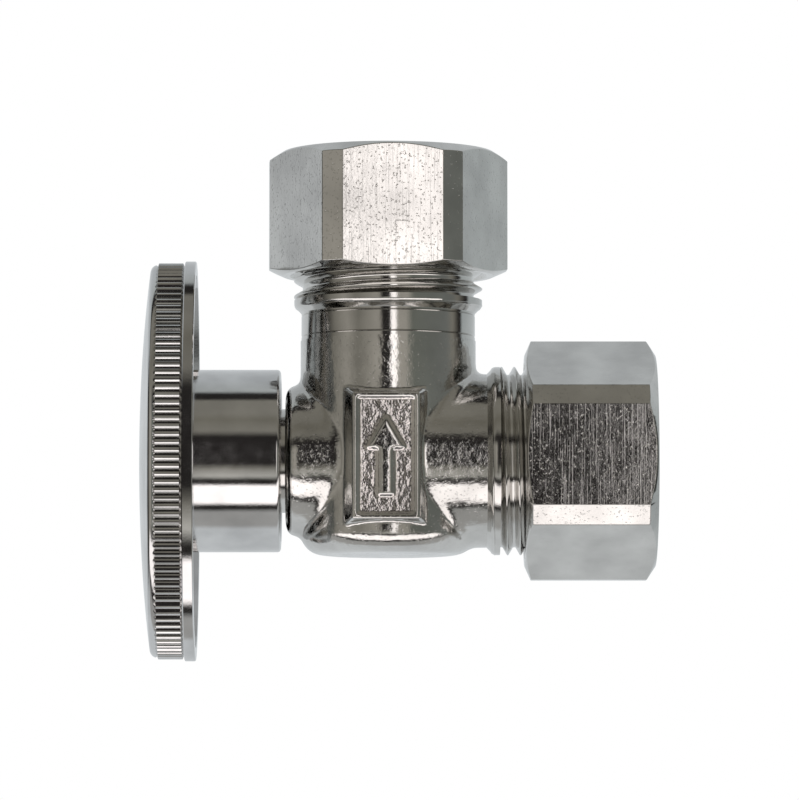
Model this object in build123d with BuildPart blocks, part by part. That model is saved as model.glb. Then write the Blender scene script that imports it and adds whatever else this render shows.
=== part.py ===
"""Multi-turn angle stop valve, modelled as the separate pieces that it comes apart into.

The frame: millimetres, +X along the inlet tube as it leaves the valve, +Z along the outlet tube.
The origin is the centre of the inlet tube's stop, where the end of the wall tube seats.
The stem and the handle lie on the X axis, on the far side of the outlet's axis.
The valve is modelled closed, with both tube nuts run down by hand.
Distances named "from the outlet axis" are counted along X from where the two axes cross.
"""

import os
from math import cos, pi, radians, sin, tan

from build123d import *

INCH = 25.4

# ---- Driving dimensions -------------------------------------------------------------------------
# tubes that the valve is made for, and the fit of their sockets
inlet_tube_od = 0.625 * INCH
outlet_tube_od = 0.5 * INCH
tube_clearance = 0.065          # radial, tube in its socket
sleeve_clearance = 0.04         # radial, tube in the compression sleeve
nut_hole_clearance = 0.2        # radial, tube in the hole of its nut
part_gap = 0.05                 # between neighbours that only touch

# port threads: both 13/16 in across the crests, 60 degree flanks
port_thread_od = 0.8125 * INCH
inlet_pitch = INCH / 18
outlet_pitch = INCH / 14
inlet_thread_depth = 0.88
outlet_thread_depth = 0.95
thread_gap = 0.1                # radial, between the crests of a thread and the roots of its mate
thread_collar = 1.1             # length of the full ring that the thread runs out into
collar_step = 0.04              # the ring is this much lower than the thread's crests
port_lead = 0.9                 # length of the chamfer on a port's first thread
lead_clearance = 0.1            # how far a chamfer's cutter reaches past crest and root

# forging
branch_offset = 11.5            # from the outlet axis to the inlet tube's stop
outlet_barrel_radius = 9.6
outlet_neck_radius = 9.5        # between the shoulder and the thread's ring
inlet_barrel_radius = 9.5
bonnet_barrel_radius = 8.25
barrel_depth = 10.2             # from the inlet axis down to the flat under the barrel
bottom_round = 2.4
shoulder_height = 13.1          # from the inlet axis up to the forged shoulder
outlet_thread_start = 16.5
outlet_mouth = 28.2
inlet_thread_start = 11.1       # from the outlet axis
inlet_mouth = 21.0              # from the outlet axis
bonnet_face = 11.2              # from the outlet axis to the forged face round the neck
bonnet_round = 1.0
junction_round = 1.0
pad_width = 7.1
pad_height = 13.6
pad_shift = 0.2                 # the pad stands this far off the outlet axis, towards the handle
pad_face = 10.05                # from the valve's mid plane
pad_draft = 30.0                # degrees
pad_corner = 0.8
pad_border = 0.5
pad_field_corner = 0.5
pad_field_depth = 0.35
arrow_shaft_width = 1.42
arrow_shaft_length = 6.8
arrow_head_width = 4.4
arrow_head_angle = 50.0         # between the head's base and its sides
arrow_head_height = 1.7         # of the head's base above the inlet axis

# waterway
outlet_bore_radius = 4.9
outlet_bore_depth = 4.8         # below the inlet axis
inlet_bore_radius = 6.6
seat_orifice_radius = 2.4
seat_ring_width = 0.5
seat_ring_height = 0.5
seat_face = 5.0                 # from the outlet axis towards the inlet
seat_web = 3.0
chamber_gap = 0.25              # radial, round the stem's thread in the chamber
outlet_stop = 17.4              # from the inlet axis up to the outlet tube's stop
sleeve_seat_flare = 0.9         # radial, at the inlet mouth
sleeve_cone_angle = 35.0        # from the tube's axis
washer_cone_depth = 2.2         # 45 degree cone at the outlet mouth

# bonnet neck, stem bore and packing
neck_wall = 0.65                # between the packing's room and the roots of the neck's thread
neck_pitch = INCH / 24
neck_thread_depth = 0.55
neck_length = 5.4
neck_lead = 0.6
neck_lead_clearance = 0.05
neck_runout = 0.9               # between the forged face and the neck's last thread
key_height = 3.0                # small cast key on the face beside the neck
key_length = 0.45
key_radius = 6.6
drive_thread_step = 0.95        # the drive thread's crests stand this far outside the shank
drive_pitch = INCH / 20
drive_thread_depth = 0.6
drive_gap = 0.08
drive_length = 6.4              # of the body's thread
drive_runout = 0.5              # plain length at each end of the body's thread
packing_floor_width = 0.45      # of the ledge that the packing washer lies on
packing_room_depth = 3.2
packing_washer_thickness = 0.6
packing_ring_thickness = 1.9

# stem
shank_radius = 3.1
shank_gap = 0.06                # radial, where the shank turns in a washer or a nut
stem_thread_length = 5.1
stem_thread_end = 4.5           # from the outlet axis towards the handle
waist_radius = 2.4
cup_radius = 3.35
cup_wall = 0.33
cup_floor = 0.9
cup_depth = 1.6
seat_washer_thickness = 2.6
square_size = 4.6
square_gap = 0.05

# handle
handle_half_length = 21.7       # across the crests of the ribs
handle_half_width = 12.15
flange_overhang = 0.2
flange_thickness = 1.2
handle_rear = 21.0              # from the outlet axis
handle_rim = 26.0               # from the outlet axis to the rim of the domed face
rib_front = 25.2
dome_height = 1.1
front_round = 0.8
rib_count = 124
rib_depth = 0.3
rim_wall = 1.5
face_wall = 1.5
skirt_radius = 9.98
skirt_wall = 1.2
skirt_end = 11.75               # from the outlet axis
boss_radius = 4.7
boss_gap = 0.8                  # between the packing nut and the boss
square_floor = 0.1              # between the stem's end and the floor of the square hole
handle_web = 1.2                # between the screw's recess and the square hole

# screws and washers
handle_screw_radius = 1.7
handle_screw_head_radius = 3.1
handle_screw_head_height = 1.1
handle_screw_reach = 5.0
handle_screw_slot = 0.8
recess_depth = 1.7              # below the top of the dome
lock_washer_thickness = 0.5
lock_washer_split = 0.5
seat_screw_radius = 1.1
seat_screw_head_radius = 1.8
seat_screw_head_height = 0.9
seat_screw_reach = 3.0
seat_screw_slot = 0.5

# nuts
nut_wall = INCH / 16            # between the ports' thread diameter and the flats
nut_corner_stand = 1.134        # the cut corners stand this far outside the flats
nut_corner_margin = 0.3         # radial, from a cut corner to the end of a chamfer's cutter
nut_countersink = 0.4
nut_end_share = 0.97            # end circle over the width across flats
outer_chamfer_angle = 33.0
inner_chamfer_angle = 24.0
inlet_nut_cover = 6.1           # the nut reaches this far over the inlet's mouth
inlet_nut_web = 3.4             # from the sleeve's end to the nut's outer end
outlet_nut_cover = 7.9          # the nut reaches this far down over the outlet's mouth
outlet_nut_top = 2.8            # of the nut's end above the friction ring
nut_cone_gap = 0.1
packing_nut_wall = 1.44375      # between the neck's thread and the flats
packing_nut_corner_stand = 0.75625
packing_nut_start = 0.9         # from the forged face
packing_nut_web = 2.2
spigot_gap = 0.1

# compression sleeve and slip joint pieces
sleeve_wall = 1.2125            # from the tube to the outside of the sleeve
sleeve_length = 5.4
sleeve_entry = 0.6              # how far the sleeve reaches into the flared mouth
cone_washer_rim_gap = 0.269     # radial, inside the crests of the outlet nut's thread
cone_washer_entry = 1.6
cone_washer_rim = 2.4
friction_ring_thickness = 0.5

# ---- Places worked out from them ----------------------------------------------------------------
outlet_x = -branch_offset
drive_thread_radius = shank_radius + drive_thread_step
chamber_radius = drive_thread_radius + chamber_gap
packing_room_radius = drive_thread_radius + packing_floor_width
neck_thread_radius = packing_room_radius + neck_wall + neck_thread_depth
packing_nut_flats = 2 * (neck_thread_radius + packing_nut_wall)
packing_nut_cut_corners = packing_nut_flats + 2 * packing_nut_corner_stand
nut_flats = port_thread_od + 2 * nut_wall
nut_cut_corners = nut_flats + 2 * nut_corner_stand
sleeve_radius = inlet_tube_od / 2 + sleeve_wall
inlet_socket_radius = inlet_tube_od / 2 + tube_clearance
outlet_socket_radius = outlet_tube_od / 2 + tube_clearance
port_crest = port_thread_od / 2
inlet_root = port_crest - inlet_thread_depth
outlet_root = port_crest - outlet_thread_depth
cone_washer_radius = outlet_root + thread_gap - cone_washer_rim_gap
inlet_mouth_x = outlet_x + inlet_mouth
inlet_thread_x = outlet_x + inlet_thread_start
bonnet_face_x = outlet_x - bonnet_face
neck_end_x = bonnet_face_x - neck_length
packing_floor_x = neck_end_x + packing_room_depth
drive_end_x = packing_floor_x + drive_length
seat_x = outlet_x + seat_face
sleeve_slope = tan(radians(sleeve_cone_angle))
drive_crest = drive_thread_radius + drive_gap - drive_thread_depth
packing_web_x = neck_end_x - 2 * spigot_gap
packing_nut_end_x = packing_web_x - packing_nut_web
dome_top_x = outlet_x - handle_rim - dome_height
recess_floor_x = dome_top_x + recess_depth
stem_end_x = recess_floor_x + handle_web + square_floor
boss_end_x = packing_nut_end_x - boss_gap
square_end_x = boss_end_x + 2 * square_floor
outlet_axis = Axis((outlet_x, 0, 0), (0, 0, 1))
outlet_profile = Plane(origin=(outlet_x, 0, 0), x_dir=(1, 0, 0), z_dir=(0, -1, 0))


# ---- Helpers ------------------------------------------------------------------------------------
def export_piece(piece, name):
    """Labels one finished piece and writes it as its own STEP file."""
    piece.part.label = name
    export_step(piece.part, f"parts/{name}.step")


def thread_ridge(start, end, crest, depth, pitch, upright=False, inward=False):
    """A right-hand helical ridge with 60 degree flanks, its centre line running from start to end.

    It lies on the X axis, or upright on the outlet's axis. crest is the radius of its flat top, and
    inward makes it point towards the axis, as the thread of a nut does.
    """
    embed = 0.1
    outward = -1 if inward else 1
    base = crest - outward * (depth + embed)
    half_crest = pitch / 16
    half_base = half_crest + tan(radians(30)) * (depth + embed)
    centre = Vector(outlet_x, 0, start) if upright else Vector(start, 0, 0)
    direction = (0, 0, 1) if upright else (1, 0, 0)
    path = Helix(pitch, end - start, base, center=centre, direction=direction, mode=Mode.PRIVATE)
    section = Plane(origin=path @ 0, x_dir=outward * ((path @ 0) - centre), z_dir=path % 0)
    with BuildPart() as ridge:
        with BuildSketch(section):
            with BuildLine():
                Polyline(
                    (0, -half_base),
                    (depth + embed, -half_crest),
                    (depth + embed, half_crest),
                    (0, half_base),
                    close=True,
                )
            make_face()
        sweep(path=path, is_frenet=True)
    return ridge.part


def hexagon_nut(start, end, flats, cut_corners, chamfer_in, chamfer_out):
    """A solid hexagon along local Z with cut corners and both ends chamfered, on the given plane."""
    end_radius = nut_end_share * flats / 2
    corner = cut_corners / 2 + nut_corner_margin
    rise_in = (corner - end_radius) * tan(radians(chamfer_in))
    rise_out = (corner - end_radius) * tan(radians(chamfer_out))
    with BuildPart() as blank:
        with BuildSketch(Plane.XY.offset(start)):
            RegularPolygon(flats / 2, 6, major_radius=False, rotation=30)
            RegularPolygon(cut_corners / 2, 6, major_radius=False, mode=Mode.INTERSECT)
        extrude(amount=end - start)
        with BuildSketch(Plane.XZ):
            with BuildLine():
                Polyline(
                    (0, start),
                    (end_radius, start),
                    (corner, start + rise_in),
                    (corner, end - rise_out),
                    (end_radius, end),
                    (0, end),
                    close=True,
                )
            make_face()
        revolve(axis=Axis.Z, mode=Mode.INTERSECT)
    return blank.part


os.makedirs("parts", exist_ok=True)

# ---- Body ---------------------------------------------------------------------------------------
inlet_thread = thread_ridge(
    inlet_thread_x + thread_collar / 2,
    inlet_mouth_x + inlet_pitch,
    port_crest,
    inlet_thread_depth,
    inlet_pitch,
)
outlet_thread = thread_ridge(
    outlet_thread_start + thread_collar / 2,
    outlet_mouth + outlet_pitch,
    port_crest,
    outlet_thread_depth,
    outlet_pitch,
    upright=True,
)
neck_thread = thread_ridge(
    neck_end_x - neck_pitch, bonnet_face_x - neck_runout, neck_thread_radius, neck_thread_depth, neck_pitch
)
drive_thread = thread_ridge(
    packing_floor_x + drive_runout,
    drive_end_x - drive_runout,
    drive_crest,
    drive_thread_depth,
    drive_pitch,
    inward=True,
)
collar_radius = port_crest - collar_step
collar_rise = collar_radius - inlet_barrel_radius
collar_sink = 0.2               # so that the ring's cone starts inside the barrel
# the blanks are this much longer than the finished threads, and are trimmed with them
inlet_blank_x = inlet_mouth_x + 2 * inlet_pitch
outlet_blank = outlet_mouth + 2 * outlet_pitch
neck_blank_x = neck_end_x - 2 * neck_pitch

with BuildPart() as valve_body:
    # upright barrel with the outlet's neck
    with BuildSketch(outlet_profile):
        with BuildLine():
            Polyline(
                (0, -barrel_depth),
                (outlet_barrel_radius, -barrel_depth),
                (outlet_barrel_radius, shoulder_height),
                (outlet_neck_radius, shoulder_height),
                (outlet_neck_radius, outlet_thread_start),
                (outlet_root, outlet_thread_start),
                (outlet_root, outlet_blank),
                (0, outlet_blank),
                close=True,
            )
        make_face()
    revolve(axis=outlet_axis)
    fillet(valve_body.edges().group_by(Axis.Z)[0], bottom_round)
    # barrel along X, from the forged bonnet face to the root of the inlet's thread
    with BuildSketch(Plane.XY):
        with BuildLine():
            Polyline(
                (bonnet_face_x, 0),
                (bonnet_face_x, bonnet_barrel_radius),
                (outlet_x, bonnet_barrel_radius),
                (outlet_x, inlet_barrel_radius),
                (inlet_thread_x, inlet_barrel_radius),
                (inlet_thread_x, inlet_root),
                (inlet_blank_x, inlet_root),
                (inlet_blank_x, 0),
                close=True,
            )
        make_face()
    revolve(axis=Axis.X)
    fillet(valve_body.edges().filter_by(GeomType.CIRCLE).group_by(Axis.X)[0], bonnet_round)
    fillet(valve_body.edges().filter_by(GeomType.BSPLINE), junction_round)
    # neck for the packing nut, and the small cast key beside it
    with BuildSketch(Plane.YZ.offset(neck_blank_x)):
        Circle(neck_thread_radius - neck_thread_depth)
    extrude(amount=bonnet_face_x - neck_blank_x)
    with BuildSketch(Plane.YZ.offset(bonnet_face_x - key_length)):
        with Locations((-key_radius / 2 - neck_thread_radius / 4, 0)):
            Rectangle(key_radius - neck_thread_radius / 2, key_height)
    extrude(amount=key_length + bonnet_round)
    # raised pad on the front and on the rear, with a sunk field and a plain arrow left standing
    with BuildSketch(Plane.XZ.offset(pad_face)):
        with Locations((outlet_x - pad_shift, 0)):
            RectangleRounded(pad_width, pad_height, pad_corner)
    extrude(amount=outlet_barrel_radius / 2 - pad_face, taper=-pad_draft)
    with BuildSketch(Plane.XZ.offset(pad_face)):
        with Locations((outlet_x - pad_shift, 0)):
            RectangleRounded(pad_width - 2 * pad_border, pad_height - 2 * pad_border, pad_field_corner)
        with Locations((outlet_x - pad_shift, 0)):
            Rectangle(
                arrow_shaft_width,
                arrow_shaft_length,
                align=(Align.CENTER, Align.MAX),
                mode=Mode.SUBTRACT,
            )
        with Locations((outlet_x - pad_shift, arrow_head_height)):
            Triangle(a=arrow_head_width, B=arrow_head_angle, C=arrow_head_angle, mode=Mode.SUBTRACT)
    extrude(amount=-pad_field_depth, mode=Mode.SUBTRACT)
    with BuildSketch(Plane.XZ.offset(-pad_face)):
        with Locations((outlet_x - pad_shift, 0)):
            RectangleRounded(pad_width, pad_height, pad_corner)
    extrude(amount=pad_face - outlet_barrel_radius / 2, taper=-pad_draft)
    # threads outside, each with the full ring that it runs out into
    with BuildSketch(Plane.XY):
        with BuildLine():
            Polyline(
                (inlet_thread_x - collar_rise, 0),
                (inlet_thread_x - collar_rise, inlet_barrel_radius - collar_sink),
                (inlet_thread_x, collar_radius),
                (inlet_thread_x + thread_collar, collar_radius),
                (inlet_thread_x + thread_collar, 0),
                close=True,
            )
        make_face()
    revolve(axis=Axis.X)
    with BuildSketch(outlet_profile):
        with BuildLine():
            Polyline(
                (0, outlet_thread_start - collar_rise),
                (outlet_neck_radius, outlet_thread_start - collar_rise),
                (collar_radius, outlet_thread_start),
                (collar_radius, outlet_thread_start + thread_collar),
                (0, outlet_thread_start + thread_collar),
                close=True,
            )
        make_face()
    revolve(axis=outlet_axis)
    add(inlet_thread)
    add(outlet_thread)
    add(neck_thread)
    # lead chamfers on the three threads, which also trim their ends flush
    with BuildSketch(Plane.XY):
        with BuildLine():
            Polyline(
                (inlet_mouth_x - port_lead, port_crest + lead_clearance),
                (inlet_mouth_x, inlet_root - lead_clearance),
                (inlet_mouth_x, 0),
                (inlet_blank_x, 0),
                (inlet_blank_x, port_crest + lead_clearance),
                close=True,
            )
        make_face()
    revolve(axis=Axis.X, mode=Mode.SUBTRACT)
    with BuildSketch(Plane.XY):
        with BuildLine():
            Polyline(
                (neck_blank_x, 0),
                (neck_end_x, 0),
                (neck_end_x, neck_thread_radius - neck_thread_depth - neck_lead_clearance),
                (neck_end_x + neck_lead, neck_thread_radius + lead_clearance),
                (neck_blank_x, neck_thread_radius + lead_clearance),
                close=True,
            )
        make_face()
    revolve(axis=Axis.X, mode=Mode.SUBTRACT)
    with BuildSketch(outlet_profile):
        with BuildLine():
            Polyline(
                (port_crest + lead_clearance, outlet_mouth - port_lead),
                (outlet_root - lead_clearance, outlet_mouth),
                (0, outlet_mouth),
                (0, outlet_blank),
                (port_crest + lead_clearance, outlet_blank),
                close=True,
            )
        make_face()
    revolve(axis=outlet_axis, mode=Mode.SUBTRACT)
    # outlet bore, tube socket and the cone for its washer
    with BuildSketch(outlet_profile):
        with BuildLine():
            Polyline(
                (0, -outlet_bore_depth),
                (outlet_bore_radius, -outlet_bore_depth),
                (outlet_bore_radius, outlet_stop),
                (outlet_socket_radius, outlet_stop),
                (outlet_socket_radius, outlet_mouth - washer_cone_depth),
                (outlet_socket_radius + washer_cone_depth, outlet_mouth),
                (0, outlet_mouth),
                close=True,
            )
        make_face()
    revolve(axis=outlet_axis, mode=Mode.SUBTRACT)
    # stem bore, from the packing's room to the chamber in front of the seat
    with BuildSketch(Plane.XY):
        with BuildLine():
            Polyline(
                (neck_end_x, 0),
                (neck_end_x, packing_room_radius),
                (packing_floor_x, packing_room_radius),
                (packing_floor_x, drive_thread_radius + drive_gap),
                (drive_end_x, drive_thread_radius + drive_gap),
                (drive_end_x, chamber_radius),
                (outlet_x + seat_face - seat_ring_height, chamber_radius),
                (outlet_x + seat_face - seat_ring_height, 0),
                close=True,
            )
        make_face()
    revolve(axis=Axis.X, mode=Mode.SUBTRACT)
    with BuildSketch(Plane.YZ.offset(seat_x - seat_ring_height)):
        Circle(chamber_radius)
        Circle(seat_orifice_radius + seat_ring_width, mode=Mode.SUBTRACT)
    extrude(amount=seat_ring_height, mode=Mode.SUBTRACT)
    # seat orifice, inlet bore, tube socket and the flare for the sleeve
    with BuildSketch(Plane.XY):
        with BuildLine():
            Polyline(
                (outlet_x, 0),
                (outlet_x, seat_orifice_radius),
                (seat_x + seat_web, seat_orifice_radius),
                (seat_x + seat_web, inlet_bore_radius),
                (0, inlet_bore_radius),
                (0, inlet_socket_radius),
                (inlet_mouth_x - sleeve_seat_flare / sleeve_slope, inlet_socket_radius),
                (inlet_mouth_x, inlet_socket_radius + sleeve_seat_flare),
                (inlet_mouth_x, 0),
                close=True,
            )
        make_face()
    revolve(axis=Axis.X, mode=Mode.SUBTRACT)
    add(drive_thread)

export_piece(valve_body, "valve_body")

# ---- Packing ------------------------------------------------------------------------------------
with BuildPart() as packing_washer:
    with BuildSketch(Plane.YZ.offset(packing_floor_x - packing_washer_thickness)):
        Circle(packing_room_radius - part_gap)
        Circle(shank_radius + shank_gap, mode=Mode.SUBTRACT)
    extrude(amount=packing_washer_thickness)

export_piece(packing_washer, "packing_washer")

packing_ring_x = packing_floor_x - packing_washer_thickness - packing_ring_thickness

with BuildPart() as packing_ring:
    with BuildSketch(Plane.YZ.offset(packing_ring_x)):
        Circle(packing_room_radius - part_gap)
        Circle(shank_radius + shank_gap, mode=Mode.SUBTRACT)
    extrude(amount=packing_ring_thickness)

export_piece(packing_ring, "packing_ring")

packing_nut_x = bonnet_face_x - packing_nut_start
packing_nut_crest = neck_thread_radius + thread_gap - neck_thread_depth
packing_nut_thread = thread_ridge(
    neck_end_x - neck_pitch / 2 + neck_pitch,
    packing_nut_x - neck_pitch / 2,
    packing_nut_crest,
    neck_thread_depth,
    neck_pitch,
    inward=True,
)
packing_nut_blank = Plane.YZ * hexagon_nut(
    packing_nut_end_x,
    packing_nut_x,
    packing_nut_flats,
    packing_nut_cut_corners,
    outer_chamfer_angle,
    inner_chamfer_angle,
)

with BuildPart() as packing_nut:
    add(packing_nut_blank)
    with BuildSketch(Plane.YZ.offset(packing_web_x)):
        Circle(neck_thread_radius + thread_gap)
    extrude(amount=packing_nut_x - packing_web_x, mode=Mode.SUBTRACT)
    with BuildSketch(Plane.YZ.offset(packing_web_x)):
        Circle(packing_room_radius - spigot_gap)
    extrude(amount=packing_ring_x - packing_web_x)
    with BuildSketch(Plane.YZ.offset(packing_nut_end_x)):
        Circle(shank_radius + shank_gap)
    extrude(amount=packing_ring_x - packing_nut_end_x, mode=Mode.SUBTRACT)
    add(packing_nut_thread)

export_piece(packing_nut, "packing_nut")

# ---- Stem and seat washer -----------------------------------------------------------------------
stem_thread_x = outlet_x - stem_thread_end
cup_front_x = seat_x - seat_ring_height - part_gap - seat_washer_thickness + cup_depth - part_gap
cup_bottom_x = cup_front_x - cup_depth
cup_back_x = cup_bottom_x - cup_floor
pocket_radius = cup_radius - cup_wall
stem_root = drive_thread_radius - drive_thread_depth
# the stem's ridge lies half a pitch from the body's, so the two threads are in mesh
mesh_shift = round((stem_thread_x - stem_thread_length - packing_floor_x) / drive_pitch) * drive_pitch
stem_thread_first = packing_floor_x + drive_runout + mesh_shift + drive_pitch / 2
stem_thread = thread_ridge(
    stem_thread_first,
    stem_thread_x - drive_pitch / 2,
    drive_thread_radius,
    drive_thread_depth,
    drive_pitch,
)

with BuildPart() as stem:
    with BuildSketch(Plane.XY):
        with BuildLine():
            Polyline(
                (stem_end_x, 0),
                (stem_end_x, shank_radius),
                (stem_thread_first - drive_pitch / 2, shank_radius),
                (stem_thread_first - drive_pitch / 2, stem_root),
                (stem_thread_x, stem_root),
                (stem_thread_x, waist_radius),
                (cup_back_x, waist_radius),
                (cup_back_x, cup_radius),
                (cup_front_x, cup_radius),
                (cup_front_x, pocket_radius),
                (cup_bottom_x, pocket_radius),
                (cup_bottom_x, 0),
                close=True,
            )
        make_face()
    revolve(axis=Axis.X)
    add(stem_thread)
    with BuildSketch(Plane.YZ.offset(stem_end_x)):
        Circle(2 * shank_radius)
        Rectangle(square_size, square_size, mode=Mode.SUBTRACT)
    extrude(amount=square_end_x - stem_end_x, mode=Mode.SUBTRACT)
    with BuildSketch(Plane.YZ.offset(stem_end_x)):
        Circle(handle_screw_radius)
    extrude(amount=handle_screw_reach, mode=Mode.SUBTRACT)
    with BuildSketch(Plane.YZ.offset(cup_bottom_x - seat_screw_reach)):
        Circle(seat_screw_radius)
    extrude(amount=seat_screw_reach, mode=Mode.SUBTRACT)

export_piece(stem, "stem")

seat_washer_x = cup_bottom_x + part_gap
seat_washer_front_x = seat_washer_x + seat_washer_thickness

with BuildPart() as seat_washer:
    with BuildSketch(Plane.YZ.offset(seat_washer_x)):
        Circle(pocket_radius - part_gap)
        Circle(seat_screw_radius + shank_gap, mode=Mode.SUBTRACT)
    extrude(amount=seat_washer_thickness)

export_piece(seat_washer, "seat_washer")

with BuildPart() as seat_washer_screw:
    with BuildSketch(Plane.YZ.offset(cup_bottom_x - seat_screw_reach)):
        Circle(seat_screw_radius)
    extrude(amount=seat_washer_front_x + part_gap - cup_bottom_x + seat_screw_reach)
    with BuildSketch(Plane.YZ.offset(seat_washer_front_x + part_gap)):
        Circle(seat_screw_head_radius)
    extrude(amount=seat_screw_head_height)
    fillet(seat_washer_screw.edges().group_by(Axis.X)[-1], seat_screw_head_height / 3)
    with BuildSketch(Plane.YZ.offset(seat_washer_front_x + part_gap + seat_screw_head_height)):
        Rectangle(3 * seat_screw_head_radius, seat_screw_slot)
    extrude(amount=-seat_screw_head_height / 2, mode=Mode.SUBTRACT)

export_piece(seat_washer_screw, "seat_washer_screw")

# ---- Handle -------------------------------------------------------------------------------------
rim_x = outlet_x - handle_rim
rib_front_x = outlet_x - rib_front
handle_rear_x = outlet_x - handle_rear
flange_x = handle_rear_x - flange_thickness
skirt_end_x = outlet_x - skirt_end
face_inside_x = rim_x + face_wall
oval_share = handle_half_width / handle_half_length
dome_half_length = handle_half_length - front_round


def oval_point(turn, inset):
    """A point of the handle's oval, a share of a turn from its side, moved in by inset."""
    along = 2 * pi * turn
    nose = Vector(handle_half_width * cos(along), handle_half_length * sin(along))
    outward = Vector(handle_half_length * cos(along), handle_half_width * sin(along)).normalized()
    return nose - outward * inset


def rib_turns(count):
    """Shares of a turn that space count points evenly along the oval's edge."""
    steps = 40 * count
    points = [oval_point(k / steps, 0) for k in range(steps + 1)]
    lengths = [0.0]
    for before, after in zip(points, points[1:]):
        lengths.append(lengths[-1] + (after - before).length)
    turns = []
    step = 0
    for rib in range(count):
        while lengths[step] < lengths[-1] * rib / count:
            step += 1
        turns.append(step / steps)
    return turns


half_rib_turns = rib_turns(2 * rib_count)
ribbed_outline = [oval_point(turn, rib_depth * (k % 2)) for k, turn in enumerate(half_rib_turns)]

with BuildPart() as dome_blank:
    with BuildSketch(Plane.XY):
        with BuildLine():
            Line((rib_front_x, 0), (rib_front_x, handle_half_length))
            RadiusArc((rib_front_x, handle_half_length), (rim_x, dome_half_length), -front_round)
            ThreePointArc(
                (rim_x, dome_half_length),
                (rim_x - 0.75 * dome_height, dome_half_length / 2),
                (dome_top_x, 0),
            )
            Line((dome_top_x, 0), (rib_front_x, 0))
        make_face()
    revolve(axis=Axis.X)

dome = scale(dome_blank.part, by=(1, oval_share, 1))

with BuildPart() as handle:
    with BuildSketch(Plane.YZ.offset(flange_x)):
        Ellipse(handle_half_width + flange_overhang, handle_half_length + flange_overhang)
    extrude(amount=flange_thickness)
    fillet(handle.edges(), flange_overhang)
    with BuildSketch(Plane.YZ.offset(rib_front_x)):
        with BuildLine():
            Polyline(ribbed_outline, close=True)
        make_face()
    extrude(amount=flange_x + flange_overhang - rib_front_x)
    add(dome)
    with BuildSketch(Plane.YZ.offset(face_inside_x)):
        Ellipse(handle_half_width - rim_wall, handle_half_length - rim_wall)
    extrude(amount=handle_rear_x - face_inside_x, mode=Mode.SUBTRACT)
    with BuildSketch(Plane.YZ.offset(face_inside_x)):
        Circle(skirt_radius)
        Circle(skirt_radius - skirt_wall, mode=Mode.SUBTRACT)
    extrude(amount=skirt_end_x - face_inside_x)
    with BuildSketch(Plane.YZ.offset(face_inside_x)):
        Circle(boss_radius)
    extrude(amount=boss_end_x - face_inside_x)
    with BuildSketch(Plane.YZ.offset(stem_end_x - square_floor)):
        Rectangle(square_size + 2 * square_gap, square_size + 2 * square_gap)
    extrude(amount=boss_end_x - stem_end_x + square_floor, mode=Mode.SUBTRACT)
    with BuildSketch(Plane.YZ.offset(recess_floor_x)):
        Circle(handle_screw_head_radius + 2 * part_gap)
    extrude(amount=-2 * recess_depth, mode=Mode.SUBTRACT)
    with BuildSketch(Plane.YZ.offset(recess_floor_x)):
        Circle(handle_screw_radius + part_gap)
    extrude(amount=stem_end_x - recess_floor_x, mode=Mode.SUBTRACT)

export_piece(handle, "handle")

with BuildPart() as handle_lock_washer:
    with BuildSketch(Plane.YZ.offset(recess_floor_x - lock_washer_thickness)):
        Circle(handle_screw_head_radius - part_gap)
        Circle(handle_screw_radius + part_gap, mode=Mode.SUBTRACT)
        with Locations((0, handle_screw_head_radius)):
            Rectangle(lock_washer_split, 2 * handle_screw_head_radius, mode=Mode.SUBTRACT)
    extrude(amount=lock_washer_thickness)

export_piece(handle_lock_washer, "handle_lock_washer")

screw_seat_x = recess_floor_x - lock_washer_thickness
screw_head_x = screw_seat_x - handle_screw_head_height

with BuildPart() as handle_screw:
    with BuildSketch(Plane.YZ.offset(screw_head_x)):
        Circle(handle_screw_head_radius)
    extrude(amount=handle_screw_head_height)
    fillet(handle_screw.edges().group_by(Axis.X)[0], handle_screw_head_height / 2)
    with BuildSketch(Plane.YZ.offset(screw_head_x)):
        Rectangle(3 * handle_screw_head_radius, handle_screw_slot)
    extrude(amount=handle_screw_head_height / 2, mode=Mode.SUBTRACT)
    with BuildSketch(Plane.YZ.offset(screw_seat_x)):
        Circle(handle_screw_radius)
    extrude(amount=stem_end_x + handle_screw_reach - screw_seat_x)

export_piece(handle_screw, "handle_screw")

# ---- Inlet nut and compression sleeve -----------------------------------------------------------
sleeve_bore = inlet_tube_od / 2 + sleeve_clearance
sleeve_mouth_radius = inlet_socket_radius + sleeve_seat_flare - part_gap
sleeve_tip_radius = sleeve_mouth_radius - sleeve_entry * sleeve_slope
sleeve_start_x = inlet_mouth_x - sleeve_entry
sleeve_end_x = sleeve_start_x + sleeve_length
sleeve_taper = (sleeve_radius - sleeve_tip_radius) / sleeve_slope

with BuildPart() as inlet_sleeve:
    with BuildSketch(Plane.XY):
        with BuildLine():
            Polyline(
                (sleeve_start_x, sleeve_bore),
                (sleeve_start_x, sleeve_tip_radius),
                (sleeve_start_x + sleeve_taper, sleeve_radius),
                (sleeve_end_x - sleeve_taper, sleeve_radius),
                (sleeve_end_x, sleeve_tip_radius),
                (sleeve_end_x, sleeve_bore),
                close=True,
            )
        make_face()
    revolve(axis=Axis.X)

export_piece(inlet_sleeve, "inlet_sleeve")

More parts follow.
